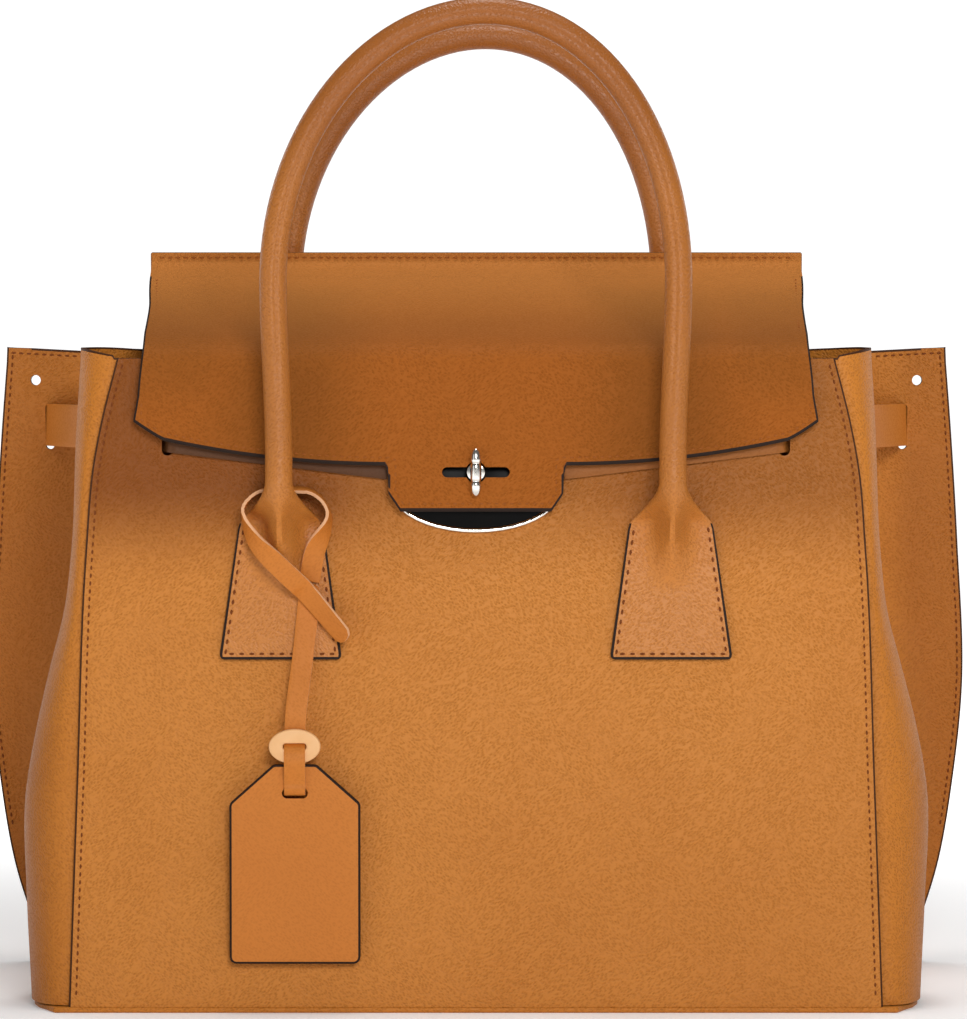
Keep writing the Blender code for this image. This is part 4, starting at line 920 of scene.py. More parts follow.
def place_lining(u, w):
    z = blend(LINING_FLOOR, LINING_TOP, w)
    lap = u * 4 % 4
    side, part = (1, lap) if lap < 2 else (-1, lap - 2)
    if part < 1:
        spot = lining_spot(part if side > 0 else 1 - part, z)
    else:
        spot = lining_spot(1.0 if side > 0 else 0.0, z)
        spot.x *= 3 - 2 * part
    spot.x *= side
    fold = (drift(spot.x * 30, spot.y * 30, z * 5) + 1) * LINING_SLACK * hump(w) ** 0.5
    inner = spot - spot.normalized() * fold
    return Vector((inner.x, inner.y, z))


bm = bent_grid(200, 40, place_lining)
bmesh.ops.remove_doubles(bm, verts=bm.verts, dist=1e-5)
floor_loop = [e for e in bm.edges if e.is_boundary and e.verts[0].co.z < LINING_FLOOR + 1e-4]
bmesh.ops.contextual_create(bm, geom=floor_loop)
bmesh.ops.recalc_face_normals(bm, faces=bm.faces)
lining = sheet("lining_cotton", bm, [lining_cotton], LINING, -1.0, 0.0)
carry(lining, "bag_body", "lining_cloth", "lining")

# %% [markdown]
# The flap is one long hide. It is sewn to the top of the back panel, slopes forward over the mouth,
# turns over the front edge and hangs as the drop with its lock tab. Its side view is a smooth curve
# through a few places, and the drop is the straight end of that curve.

# %% Flap profile
FLAP = 0.0015
FLAP_LINING = 0.0006
HINGE_DROP = 0.006
HINGE_STRIP = 0.0075
BEND_RADIUS = 0.014
CREST_RISE = 0.0085
BEND_FLAT_SHARE = 1.35
STAND_OFF = 0.0043
DROP_TOP = FRONT_HEIGHT - BEND_RADIUS


def through(points, parts):
    """Smooth curve through places."""
    rows = [2 * points[0] - points[1]] + list(points) + [2 * points[-1] - points[-2]]
    found = []
    for a, b, c, d in zip(rows, rows[1:], rows[2:], rows[3:]):
        for i in range(parts):
            t = i / parts
            curve = (2 * a - 5 * b + 4 * c - d) * t * t + (3 * b - a - 3 * c + d) * t ** 3
            found.append((2 * b + (c - a) * t + curve) / 2)
    found.append(rows[-2])
    return found


hinge_y = back_face(SEAM_HEIGHT - HINGE_STRIP) - PANEL - 2 * GAP - FLAP * 1.5
hinge = Vector((hinge_y, SEAM_HEIGHT - HINGE_DROP))
crest = Vector((-MOUTH_FRONT + BEND_RADIUS, FRONT_HEIGHT + CREST_RISE))
middle = Vector((blend(hinge.x, crest.x, 0.52), blend(hinge.y, crest.y, 0.66)))
quarter = Vector((blend(hinge.x, crest.x, 0.24), blend(hinge.y, crest.y, 0.37)))
drop_start = Vector((front_face(DROP_TOP) - STAND_OFF - FLAP / 2, DROP_TOP))
slope = through([hinge, quarter, middle, crest], 12)[:-1]
down = Vector((-FRONT_SLOPE, -1.0)).normalized()
flat = (crest - middle).normalized()
over = crest + flat * BEND_RADIUS * BEND_FLAT_SHARE
bend = [cubic(crest, over, drop_start - down * BEND_RADIUS, drop_start, t) for t in steps(0, 1, 24)]
flap_line = slope + bend
print("flap hinge", tuple(round(v, 4) for v in hinge), "fold", tuple(round(v, 4) for v in drop_start))


def beside(points, distance):
    """Curve moved to its inner side, which faces the bag."""
    found = []
    for i, here in enumerate(points):
        run = heading(points, i)
        found.append(here + Vector((-run.y, run.x)) * distance)
    return found


# %% [markdown]
# The drop's lower edge is drawn as an outline: a short side, a slow curve down to the tab, and the
# tab's clipped corners. The sheet's columns and rows follow that outline, so its edge is clean without a
# cut, and the last row is as wide as the edge paint that laps on to the face. The hide is cut a little
# narrower where it turns over the front edge, which gives the flap its flared sides.

# %% Flap leather
DROP_HALF = 0.1285
DROP_SIDE_LEVEL = 0.2175
DROP_MID_LEVEL = 0.2015
DROP_CORNER_LEVEL = 0.2105
TAB_HALF = 0.0325
TAB_LEVEL = 0.1845
TAB_CHAMFER_DROP = 0.0045
TAB_CHAMFER_IN = 0.0065
TAB_CORNER = 0.0012
CORNER_START = DROP_HALF * 0.91
FLARE_AT_SHARES = (0.0, 0.1, 0.4, 0.75, 1.0)
FLARE_WIDTH_SHARES = (0.996, 0.996, 0.980, 0.966, 0.978)
DROP_WIDTH_SHARE = 0.982


def drop_edge(x):
    """Height of the drop's lower edge at a distance from the middle."""
    x = abs(x)
    if x <= TAB_HALF - TAB_CHAMFER_DROP:
        return TAB_LEVEL
    if x <= TAB_HALF:
        t = (x - TAB_HALF + TAB_CHAMFER_DROP) / TAB_CHAMFER_DROP
        return blend(TAB_LEVEL, TAB_LEVEL + TAB_CHAMFER_IN, t)
    if x <= TAB_HALF + TAB_CORNER:
        return blend(TAB_LEVEL + TAB_CHAMFER_IN, DROP_MID_LEVEL, ((x - TAB_HALF) / TAB_CORNER) ** 0.3)
    if x <= CORNER_START:
        t = 1 - (x - TAB_HALF - TAB_CORNER) / (CORNER_START - TAB_HALF - TAB_CORNER)
        return blend(DROP_CORNER_LEVEL, DROP_MID_LEVEL, 1 - (1 - t) ** 2)
    t = (x - CORNER_START) / (DROP_HALF - CORNER_START)
    return blend(DROP_CORNER_LEVEL, DROP_SIDE_LEVEL, t ** 1.15)


COLUMN_STOPS = (
    0.0, TAB_HALF - TAB_CHAMFER_DROP, TAB_HALF - PAINT_LAP, TAB_HALF, TAB_HALF + TAB_CORNER, CORNER_START,
    DROP_HALF - PAINT_LAP, DROP_HALF,
)
COLUMN_COUNTS = (0, 21, 27, 28, 34, 76, 87, 88)
LINE_ROWS = 68
DROP_ROWS = 28
FLAP_LAP = 0.0013
FLAP_SAG = 0.0012
FLAP_WAVE = 0.0010


def column_x(u):
    """Distance from the middle for a share across the flap, with columns on the outline's corners."""
    side = 2 * u - 1
    s = abs(side) * COLUMN_COUNTS[-1]
    for i in range(len(COLUMN_COUNTS) - 1):
        if s <= COLUMN_COUNTS[i + 1] + 1e-4:
            t = (s - COLUMN_COUNTS[i]) / (COLUMN_COUNTS[i + 1] - COLUMN_COUNTS[i])
            return math.copysign(blend(COLUMN_STOPS[i], COLUMN_STOPS[i + 1], t), side)
    return math.copysign(DROP_HALF, side)


def flare(t):
    """Half width of the flap at a share of its line, from the root to the top of the drop."""
    return FLAP_HALF * lookup(t, FLARE_AT_SHARES, FLARE_WIDTH_SHARES)


def flap_sheet(name, distance, margin, materials, thickness, start_index, stop=0.0):
    """Sheet along the flap's line at a distance inside it, in by a margin and ended at a height."""
    line = beside(flap_line, distance)[start_index:]
    count = len(line) - 1
    rows = LINE_ROWS + DROP_ROWS

    def place(u, w):
        x = column_x(u)
        k = w * rows
        if k <= LINE_ROWS + 1e-4:
            t = min(k / LINE_ROWS * count, count - 1e-6)
            spot = on_line(line, t)
            lift = drift(x * 10, 1.3, w * 5) * FLAP_WAVE - FLAP_SAG * (1 - (x / FLAP_HALF) ** 2)
            wide = flare((t + start_index) / (count + start_index)) - margin
            return Vector((x / DROP_HALF * wide, spot.x, spot.y + lift * hump(k / LINE_ROWS / 0.7)))
        j = round(k) - LINE_ROWS
        edge = max(drop_edge(x) + margin, stop)
        t = 1.0 if j == DROP_ROWS else j / (DROP_ROWS - 1)
        z = edge if j == DROP_ROWS else blend(DROP_TOP, edge + FLAP_LAP, t)
        wide = blend(flare(1.0), DROP_HALF * DROP_WIDTH_SHARE, t) - margin
        near_tab = min(abs(x) / (2 * TAB_HALF), 1.0)
        last = line[-1]
        return Vector((
            blend(x, x / DROP_HALF * wide, ease(near_tab)), last.x + (z - DROP_TOP) * FRONT_SLOPE,
            last.y + z - DROP_TOP,
        ))

    bm = bent_grid(2 * COLUMN_COUNTS[-1], rows, place, (0, -1, 0.5))
    if margin == 0:
        paint_edge(bm)
    return sheet(name, bm, materials, thickness, 0.0, 0.0 if thickness < 0.001 else 0.0004)


ROOT_LENGTH = 5
SLOT_BULGE = 0.0040
SLOT_HALF = 0.0125
SLOT_TALL = 0.0019
LINING_MARGIN = 0.0015
LINING_STOP = LOCK_HEIGHT + SLOT_BULGE + LINING_MARGIN


def keyhole():
    """Tab slot: flat, with a round bulge for the post's collar."""
    start = math.asin(SLOT_TALL / SLOT_BULGE)
    upper = [math.pi - start - (math.pi - 2 * start) * i / 8 for i in range(9)]
    right = [(SLOT_BULGE * math.cos(a), SLOT_BULGE * math.sin(a)) for a in upper]
    ends = [math.pi * i / 8 for i in range(9)]
    right += [(SLOT_HALF - SLOT_TALL + SLOT_TALL * math.sin(a), SLOT_TALL * math.cos(a)) for a in ends]
    return right + [(-x, -z) for x, z in right]


flap = flap_sheet("flap_leather", 0.0, 0.0, [flap_hide, edge_paint], FLAP, ROOT_LENGTH)
tab_y = front_face(LOCK_HEIGHT) - STAND_OFF - FLAP / 2
punch(flap, keyhole(), (0.0, tab_y, LOCK_HEIGHT), 0.006)
inner = flap_sheet(
    "flap_lining_cotton", FLAP / 2 + GAP + FLAP_LINING / 2, LINING_MARGIN, [lining_cotton], FLAP_LINING,
    8, LINING_STOP,
)
for item, nodes, slot in (
    (flap, ("flap_rear", "flap_drop"), "flap_leather"),
    (inner, ("flap_rear_lining", "flap_drop_lining"), "lining_cloth"),
):
    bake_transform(item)
    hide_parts(*nodes)

# %% [markdown]
# Where the flap leaves the back panel, a short stretch of hide bends. It stands for the sewn strip.

# %% Flap root
strip_y = back_face(SEAM_HEIGHT - HINGE_STRIP) - PANEL - GAP - FLAP / 2
strip_low = Vector((strip_y, SEAM_HEIGHT - HINGE_STRIP))
strip_top = Vector((strip_y - BACK_SLOPE * HINGE_STRIP, SEAM_HEIGHT))
root_end = flap_line[ROOT_LENGTH]
root_next = flap_line[ROOT_LENGTH + 1]
lead = (root_end - root_next).normalized()
root_line = [strip_top.lerp(strip_low, i / 8 * 0.35) for i in range(8)]
turn_start = root_line[-1]
fall = (strip_low - strip_top).normalized()
root_line += [
    cubic(turn_start, turn_start + fall * 0.003, root_end + lead * 0.006, root_end, t)
    for t in steps(0, 1, 14)[1:]
]


def place_root(u, w):
    spot = on_line(root_line, w * (len(root_line) - 1))
    return Vector((flare(0.0) * (2 * u - 1), spot.x, spot.y))


bm = bent_grid(60, 44, place_root, (0, -1, 1))
root = sheet("flap_root_leather", bm, [flap_hide, edge_paint], FLAP, 0.0, 0.0002)
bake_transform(root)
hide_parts("flap_root_strip")

# %% [markdown]
# Each handle is a leather tube rolled round a cord and sewn to the panel by two flat feet. The foot
# starts as a patch, a ridge rises out of it, and the ridge closes into the round neck. One loft runs
# from foot to foot, so there is no joint to see.

# %% Handles
HANDLE_HALF = 0.0740
FOOT_SPAN = 0.0720
HANDLE_RADIUS = 0.0050
HINGE_HEIGHT = 0.2040
SPRING_HEIGHT = 0.2695
ARCH_HEIGHT = 0.0980
LEAN = 0.0035
FOOT = 0.0018
FOOT_LOW = 0.1300
FOOT_SHOULDER = 0.1795
FOOT_LOW_HALF = 0.0227
FOOT_SHOULDER_HALF = 0.0156
RIDGE_LOW = 0.1450
NECK_LEVEL = 0.1960
FOOT_CORNER = 0.0020
FOOT_PAINT = 0.0010
FOOT_ROWS = 34
RING = 26
SEAM_PINCH = 0.0006
SEAM_ANGLE = 1.78


def foot_ring(z, depth_at, outward, stand_off):
    """Ring of a foot at a height as (x, y): patch, ridge and neck, front edge first."""
    neck = ease((z - FOOT_SHOULDER) / (NECK_LEVEL - FOOT_SHOULDER))
    lift = ease((z - RIDGE_LOW) / (NECK_LEVEL - RIDGE_LOW))
    side = min(1.0, (z - FOOT_LOW) / (FOOT_SHOULDER - FOOT_LOW))
    half = blend(blend(FOOT_LOW_HALF, FOOT_SHOULDER_HALF, side), HANDLE_RADIUS, neck ** 0.6)
    near_end = max(0.0, FOOT_CORNER - (z - FOOT_LOW))
    half -= FOOT_CORNER - math.sqrt(FOOT_CORNER ** 2 - near_end ** 2)
    ridge = 2 * HANDLE_RADIUS * lift
    start = GAP + max(0.0, stand_off - HANDLE_RADIUS - GAP) * lift ** 1.6
    outer = []
    inner_side = []
    for i in range(RING):
        angle = math.pi * blend(0.02, 0.98, i / (RING - 1))
        share = -math.cos(angle)
        x = half * share
        bump = blend(math.exp(-((x / (HANDLE_RADIUS * 0.98)) ** 2)), math.sin(angle), neck)
        patch = max(GAP + FOOT + (start - GAP + ridge - FOOT) * bump, GAP + FOOT)
        under = GAP + (start - GAP) * bump * min(1.0, lift * 1.2)
        under = max(min(under, patch - FOOT), GAP)
        round_out = start + HANDLE_RADIUS * (1 + math.sin(angle))
        round_in = start + HANDLE_RADIUS * (1 - math.sin(angle))
        outer.append((x, blend(patch, round_out, neck)))
        inner_side.append((x, blend(under, round_in, neck)))
    return [(x, depth_at(x, z) + outward * depth) for x, depth in outer + inner_side[::-1]]


def handle_axis(y):
    """Centre line of the tube, from the left neck to the right."""
    leg = [
        Vector((-blend(FOOT_SPAN, HANDLE_HALF, ease(i / 10)), y, blend(HINGE_HEIGHT, SPRING_HEIGHT, i / 10)))
        for i in range(10)
    ]
    arch = []
    for i in range(61):
        angle = math.pi * (1 - i / 60)
        rise = math.sin(angle)
        x = HANDLE_HALF * math.cos(angle) + LEAN * rise * rise
        arch.append(Vector((x, y, SPRING_HEIGHT + ARCH_HEIGHT * rise)))
    return leg + arch + [Vector((-p.x, y, p.z)) for p in reversed(leg)]


def handle_rings(depth_at, outward, stand_off):
    """All rings of one handle, foot to foot."""
    top = HINGE_HEIGHT - 0.0030
    heights = [FOOT_LOW, FOOT_LOW + 0.0002, FOOT_LOW + 0.0005, FOOT_LOW + FOOT_PAINT]
    heights += [blend(FOOT_LOW, top, k / FOOT_ROWS) for k in range(1, FOOT_ROWS + 1)]
    feet = []
    for side in (-1, 1):
        def at(x, height, side=side):
            return depth_at(side * FOOT_SPAN + x, height)
        feet.append([
            [Vector((side * FOOT_SPAN + x, d, z)) for x, d in foot_ring(z, at, outward, stand_off)]
            for z in heights
        ])
    line = handle_axis(depth_at(FOOT_SPAN, HINGE_HEIGHT) + outward * stand_off)
    across = Vector((0.0, outward, 0.0))
    tube = []
    for i, here in enumerate(line):
        closed = ease(min(i, len(line) - 1 - i) / 8)
        run = heading(line, i)
        left = Vector((run.z, 0.0, -run.x))
        ring = []
        for k in range(2 * RING):
            part, face = (k, 1) if k < RING else (2 * RING - 1 - k, -1)
            angle = math.pi * blend(0.02, 0.98, part / (RING - 1))
            near_seam = math.exp(-((angle - SEAM_ANGLE) / 0.15) ** 2) if face > 0 else 0.0
            reach = HANDLE_RADIUS - SEAM_PINCH * closed * near_seam
            ring.append(here + (left * -math.cos(angle) + across * math.sin(angle) * face) * reach)
        tube.append(ring)
    turned = [row[:RING][::-1] + row[RING:][::-1] for row in feet[1]]
    return feet[0] + tube + turned[::-1]


def make_handle(word, depth_at, outward, stand_off):
    """Handle with its two feet, in one sheet of rings."""
    rows = handle_rings(depth_at, outward, stand_off)
    count = 2 * RING

    def place(u, w):
        return rows[round(w * (len(rows) - 1))][round(u * count) % count]

    bm = bent_grid(count, len(rows) - 1, place)
    bmesh.ops.remove_doubles(bm, verts=bm.verts, dist=1e-6)
    ends = [e for e in bm.edges if e.is_boundary]
    for lying in (-1, 1):
        bmesh.ops.contextual_create(bm, geom=[e for e in ends if e.verts[0].co.x * lying > 0])
    bmesh.ops.recalc_face_normals(bm, faces=bm.faces)
    for face in bm.faces:
        spot = face.calc_center_median()
        share = min(1.0, (spot.z - FOOT_LOW) / (FOOT_SHOULDER - FOOT_LOW))
        to_side = blend(FOOT_LOW_HALF, FOOT_SHOULDER_HALF, share) - abs(abs(spot.x) - FOOT_SPAN)
        cut_side = abs(face.normal.y) < 0.35 and to_side < 3 * FOOT_PAINT
        sideways = cut_side or to_side < FOOT_PAINT or spot.z < FOOT_LOW + FOOT_PAINT
        if spot.z < FOOT_SHOULDER and sideways:
            face.material_index = 1
    item = link(word + "_handle_leather", bm, [handle_hide, edge_paint])
    round_edge(item, 0.0004, 2, 60)
    settle(item, 50)
    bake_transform(item)
    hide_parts(word + "_handle_wrap", word + "_foot_left", word + "_foot_right")
    print(item.name, len(item.data.polygons), "faces")


make_handle("front", front_skin, -1, 0.0212)
make_handle("rear", back_skin, 1, 0.0100)

# %% [markdown]
# Straps are flat ribbons. A ribbon follows a smooth line, and at each place it is told which way its
# width lies, because the same strap lies flat on the bag and stands on edge where it loops.

# %% Ribbon helper
def ribbon(name, rows, thickness, materials, edge=0.0003, columns=6, round_end=0.0):
    """Flat strap through rows of (centre, width direction, half width)."""
    centres, ways, halves = zip(*rows)
    total = sum((b - a).length for a, b in zip(centres, centres[1:]))

    def place(u, w):
        t = w * (len(rows) - 1)
        i = min(int(t), len(rows) - 2)
        run = heading(centres, i)
        across = on_line(ways, t)
        across = (across - run * across.dot(run)).normalized()
        half = blend(halves[i], halves[i + 1], t - i)
        left = (1 - w) * total
        pull = 0.0
        if left < round_end:
            pull = round_end * (1 - math.sqrt(1 - (2 * u - 1) ** 2)) * (1 - left / round_end)
        return on_line(centres, t) + across * half * (2 * u - 1) - run * pull

    bm = bent_grid(columns, 2 * (len(rows) - 1), place)
    return sheet(name, bm, materials, thickness, 0.0, edge, False)


def smooth_rows(spots, parts):
    """Rows for a ribbon through spots of (place, width direction, half width)."""
    places, ways = [through([Vector(s[k]) for s in spots], parts) for k in (0, 1)]
    halves = through([Vector((s[2], 0.0)) for s in spots], parts)
    return [(p, a, h.x) for p, a, h in zip(places, ways, halves)]


# %% [markdown]
# A side strap is sewn behind each wing, comes forward through the wing's slot, crosses the pleat, and
# leaves the front panel by its slit. On the front it slopes down under the flap to the lock.

# %% Side straps
STRAP = 0.0012
STRAP_END = 0.0318
STRAP_REAR = 0.118
rear_up, front_up, upright = (0.0, -BACK_SLOPE, 1.0), (0.0, FRONT_SLOPE, 1.0), (0.0, 0.0, 1.0)
rear = back_face(STRAP_LEVEL) + GAP + STRAP / 2
slot_x = wing_half(STRAP_LEVEL) - WING_SLOT_INSET
inside = Vector((slot_x, back_face(STRAP_LEVEL) - PANEL - GAP - GUSSET))
crossing = Vector((STRAP_GUSSET_X, STRAP_GUSSET_Y))
leave = inside + (crossing - inside).normalized() * 0.006
arrive = Vector((STRAP_SLIT_HALF, front_face(STRAP_LEVEL) + PANEL))
approach = crossing.lerp(arrive, 0.72)
strap_line = [
    (STRAP_REAR, rear, rear_up),
    (blend(STRAP_REAR, slot_x, 0.5), rear, rear_up),
    (slot_x - 0.0042, rear, rear_up),
    (slot_x - 0.0003, back_face(STRAP_LEVEL) - PANEL / 4, rear_up),
    (slot_x, inside.y + GUSSET / 2, upright),
    (*leave, upright),
    (*crossing, upright),
    (*approach, upright),
    (arrive.x, arrive.y - PANEL / 2, front_up),
]
strap_spots = [((x, y, STRAP_LEVEL), up) for x, y, up in strap_line]
for x in (0.111, 0.105, 0.0642, 0.0420, STRAP_END):
    z = blend(LOCK_HEIGHT + 0.0015, STRAP_LEVEL, x / STRAP_SLIT_HALF)
    strap_spots.append(((x, front_face(z) - 2 * GAP - STRAP / 2, z), front_up))
for side, word in ((-1, "left"), (1, "right")):
    rows = smooth_rows([((side * x, y, z), up, STRAP_WIDTH / 2) for (x, y, z), up in strap_spots], 6)
    strap = ribbon("side_strap_leather_" + word, rows, STRAP, [side_strap_hide, seam_paint], 0.0003, 8)
    carry(strap, "bag_body", "strap_leather", "side_strap_" + word)

# %% [markdown]
# The lock is dressed from its solids. The turning bar is a spun profile: two domed ends, a waist groove
# each side of the middle, and a polished barrel.

# %% Lock
dress("lock_rim", "bag_body", "nickel", [nickel], 0.0004)
# The lock's plate takes the painted shade and dark reflection.
dress("lock_plate", "bag_body", "black_lacquer", [black_shade_plate], 0.0002, 2)
dress("lock_back_plate", "bag_body", "nickel", [nickel], 0.0002, 2)
dress("lock_post", "bag_body", "nickel", [nickel], 0.0003)
KNOB_RADIUS = 0.0021
KNOB_SHARES = (
    (0.0, 1.0), (0.0026, 1.0), (0.0030, 0.86), (0.0033, 0.80), (0.0036, 0.86), (0.0040, 1.0),
    (0.0058, 0.97), (0.0074, 0.80), (0.0085, 0.52),
)
knob_low, knob_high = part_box("lock_knob")
knob_centre = (knob_low + knob_high) / 2
half_profile = [(rise, KNOB_RADIUS * share) for rise, share in KNOB_SHARES]
half_profile.append(((knob_high.z - knob_low.z) / 2, 0.0))
profile = [(-rise, r) for rise, r in reversed(half_profile[1:])] + half_profile
bm = bmesh.new()
verts = [bm.verts.new(knob_centre + Vector((r, 0.0, rise))) for rise, r in profile]
edges = [bm.edges.new(pair) for pair in zip(verts, verts[1:])]
bmesh.ops.spin(
    bm, geom=verts + edges, cent=knob_centre, axis=(0, 0, 1), angle=2 * math.pi, steps=40, use_merge=True
)
bmesh.ops.remove_doubles(bm, verts=bm.verts, dist=1e-6)
bmesh.ops.recalc_face_normals(bm, faces=bm.faces)
knob = link("lock_knob_bar", bm, [nickel])
smooth = knob.modifiers.new("Round", "SUBSURF")
smooth.levels = smooth.render_levels = 1
settle(knob, 60)
carry(knob, "lock_knob_body", "nickel", "lock_knob")

# %% [markdown]
# The luggage tag is two plies glued and edge-painted together. Its strap has raw pale edges, goes
# through the toggle and the slot, and loops round the neck of the left foot.

# %% Tag
TAG_CENTRE = -0.0664
TAG_BACK = -0.0792
TAG_PLY = 0.0013
TAG_SLOT_LEVEL = 0.0815
TAG_BARE = 0.0068
TAG_STRAP = 0.0012
TAG_STRAP_WIDTH = 0.0077
TOGGLE_LEVEL = 0.0988
PIVOT_X = -0.0613
PIVOT_Z = 0.1538
bare = (TAG_CENTRE, TAG_SLOT_LEVEL, TAG_BARE)
for node in ("tag_back_ply", "tag_front_ply"):
    dress(node, "tag_body", "strap_leather", [strap_hide, edge_paint], 0.0003, 2, (0, 1, 0), 0.0008, bare)
deep = TAG_BACK - 2 * TAG_PLY - 2 * GAP - TAG_STRAP / 2

# %% [markdown]
# The toggle is an oval punched from natural leather with one slit in its middle. The strap comes down
# behind it, passes the slit and lies over its lower half, so it grips by friction.

# %% Toggle
TOGGLE_HALF_X = 0.0095
TOGGLE_HALF_Z = 0.0064
TOGGLE = 0.0030
lying = Matrix.Rotation(math.pi / 2, 4, "X") @ Matrix.Diagonal((TOGGLE_HALF_X, TOGGLE_HALF_Z, 1.0, 1.0))
bm = bmesh.new()
bmesh.ops.create_circle(
    bm, cap_ends=True, segments=56, radius=1.0,
    matrix=Matrix.Translation((TAG_CENTRE, deep + TOGGLE / 2, TOGGLE_LEVEL)) @ lying,
)
raise_faces(bm, bm.faces[:], -TOGGLE)
toggle = link("tag_toggle_leather", bm, [natural_hide])
punch(toggle, stadium(TAG_STRAP_WIDTH / 2 + 0.0005, 0.0012, 5), (TAG_CENTRE, deep, TOGGLE_LEVEL), 0.012)
round_edge(toggle, 0.0006, 3, 40)
settle(toggle)
carry(toggle, "tag_body", "peach_leather", "tag_toggle")

# %% Strand
start_y = front_face(PIVOT_Z) - GAP - FOOT - 3 * GAP - TAG_STRAP / 2
half = TAG_STRAP_WIDTH / 2
across = (1.0, 0.0, 0.0)
behind = deep + TOGGLE / 2 + TAG_STRAP / 2 + 0.0001
before = deep - TOGGLE / 2 - TAG_STRAP / 2 - 0.0001
strand_places = [(PIVOT_X, start_y, PIVOT_Z)]
for across_share, depth_share, fall_share in ((0.45, 0.35, 0.4), (0.9, 0.92, 0.75)):
    strand_places.append((
        blend(PIVOT_X, TAG_CENTRE, across_share), blend(start_y, behind, depth_share),
        blend(PIVOT_Z, TOGGLE_LEVEL, fall_share),
    ))
for y, z in (
    (behind, TOGGLE_LEVEL + 0.0040), (blend(behind, deep, 0.6), TOGGLE_LEVEL + 0.0008),
    (blend(before, deep, 0.6), TOGGLE_LEVEL - 0.0008), (before, TOGGLE_LEVEL - 0.0034),
    (before, TOGGLE_LEVEL - 0.0070), (deep, TAG_SLOT_LEVEL + 0.0040), (deep, TAG_SLOT_LEVEL + 0.0016),
    (blend(deep, TAG_BACK, 0.35), TAG_SLOT_LEVEL - 0.0002), (TAG_BACK + GAP, TAG_SLOT_LEVEL - 0.0004),
):
    strand_places.append((TAG_CENTRE, y, z))
strand_spots = [((PIVOT_X, start_y, PIVOT_Z + half * 0.9), across, half * 0.5)]
strand_spots += [(place, across, half) for place in strand_places]
rows = smooth_rows(strand_spots, 6)
strand = ribbon("tag_strand_leather", rows, TAG_STRAP, [strap_hide, raw_edge], 0.0002)
carry(strand, "tag_body", "strap_leather", "tag_hanging_strand")

LOOP_WIDTH = 0.0310
LOOP_HEIGHT = 0.0385
LOOP_DEPTH = 0.0120
LOOP_SHARES = (
    (0.41, 0.50, 0.42, (0.95, 0.3, 0.0)),
    (0.58, 0.56, 0.76, (0.15, 1.0, 0.0)),
    (0.37, 0.44, 0.985, (-0.1, 1.0, 0.2)),
    (0.0, 0.44, 1.0, (0.0, 1.0, 0.15)),
    (-0.26, 0.46, 0.985, (0.0, 1.0, 0.0)),
    (-0.44, 0.80, 0.80, (0.0, 1.0, -0.1)),
    (-0.30, 0.95, 0.53, (-0.5, 0.7, -0.4)),
    (-0.03, 0.97, 0.30, (-0.75, 0.15, -0.65)),
    (0.20, 0.80, 0.12, (-0.75, 0.15, -0.65)),
    (0.345, 0.62, 0.0, (-0.66, 0.4, -0.60)),
    (0.79, 0.76, -0.42, (-0.55, 0.6, -0.50)),
)
loop_spots = [((PIVOT_X, start_y, PIVOT_Z + half + 4 * GAP), across, half)]
for across_share, depth_share, rise_share, direction in LOOP_SHARES:
    z = PIVOT_Z + rise_share * LOOP_HEIGHT
    place_x = -FOOT_SPAN + across_share * LOOP_WIDTH
    loop_spots.append(((place_x, front_face(z) - depth_share * LOOP_DEPTH, z), direction, half))
rows = smooth_rows(loop_spots, 8)
loop = ribbon("tag_loop_leather", rows, TAG_STRAP, [strap_hide, raw_edge], 0.0002, 6, half * 0.6)
carry(loop, "bag_body", "strap_leather", "tag_strap_loop")

# %% [markdown]
# The inner pocket closes with a metal zip. Its teeth are single pressed pieces in two rows that mesh,
# and its slider carries a small leather pull.

# %% Zip
TOOTH_PITCH = 0.0016
dress("zip_tape", "bag_body", "lining_cloth", [zip_weave], 0.0002, 2)
teeth_low, teeth_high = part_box("zip_teeth")
lean = math.atan(BACK_SLOPE)
middle_of_teeth = (teeth_low + teeth_high) / 2
bm = bmesh.new()
count = int((teeth_high.x - teeth_low.x) / TOOTH_PITCH)
for i in range(2 * count):
    row = 1 if i % 2 else -1
    x = teeth_low.x + (i + 0.5) * TOOTH_PITCH / 2
    spot = Matrix.Translation((x, middle_of_teeth.y, middle_of_teeth.z)) @ Matrix.Rotation(lean, 4, "X")
    size = Matrix.Diagonal((TOOTH_PITCH * 0.62, 0.0011, 0.0023, 1.0))
    bmesh.ops.create_cube(bm, size=1.0, matrix=spot @ Matrix.Translation((0, 0, row * 0.0007)) @ size)
teeth = link("zip_teeth_metal", bm, [nickel])
round_edge(teeth, 0.00015, 1)
settle(teeth)
carry(teeth, "bag_body", "nickel", "zip_teeth")
dress("zip_slider", "zip_slider_body", "nickel", [nickel], 0.0005)
dress("zip_pull", "zip_slider_body", "leather", [strap_hide, edge_paint], 0.0003, 3, (0, 1, 0))

# %% [markdown]
# The two handle cords show only if a seam opens, so their solids stay and take the cotton finish.

# %% Cords
for node in ("front_handle_core", "rear_handle_core"):
    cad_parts[node].data.materials.clear()
    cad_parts[node].data.materials.append(cord_cotton)

# %% [markdown]
# Now the thread. The front seams are sewn 2.6 mm inside the panel's edge, the wings and their top edges
# 2.2 mm inside, and each foot along its patch. The flap is sewn along its root, its sides and its drop.

# %% Sew the seams
WING_INSET = 0.0022
FOOT_INSET = 0.0021
FLAP_INSET = 0.0029
out_front = Vector((0.0, -1.0, -FRONT_SLOPE)).normalized()
row = [(seam_half(z) - SEAM_INSET, z) for z in steps(0.006, FRONT_HEIGHT - 0.002, 120)]
runs = both_sides(row, lambda x, z: front_skin(x, z) + CHANNEL, out_front)
sew("front_seam_thread", runs, "bag_body", pitch=0.0029)

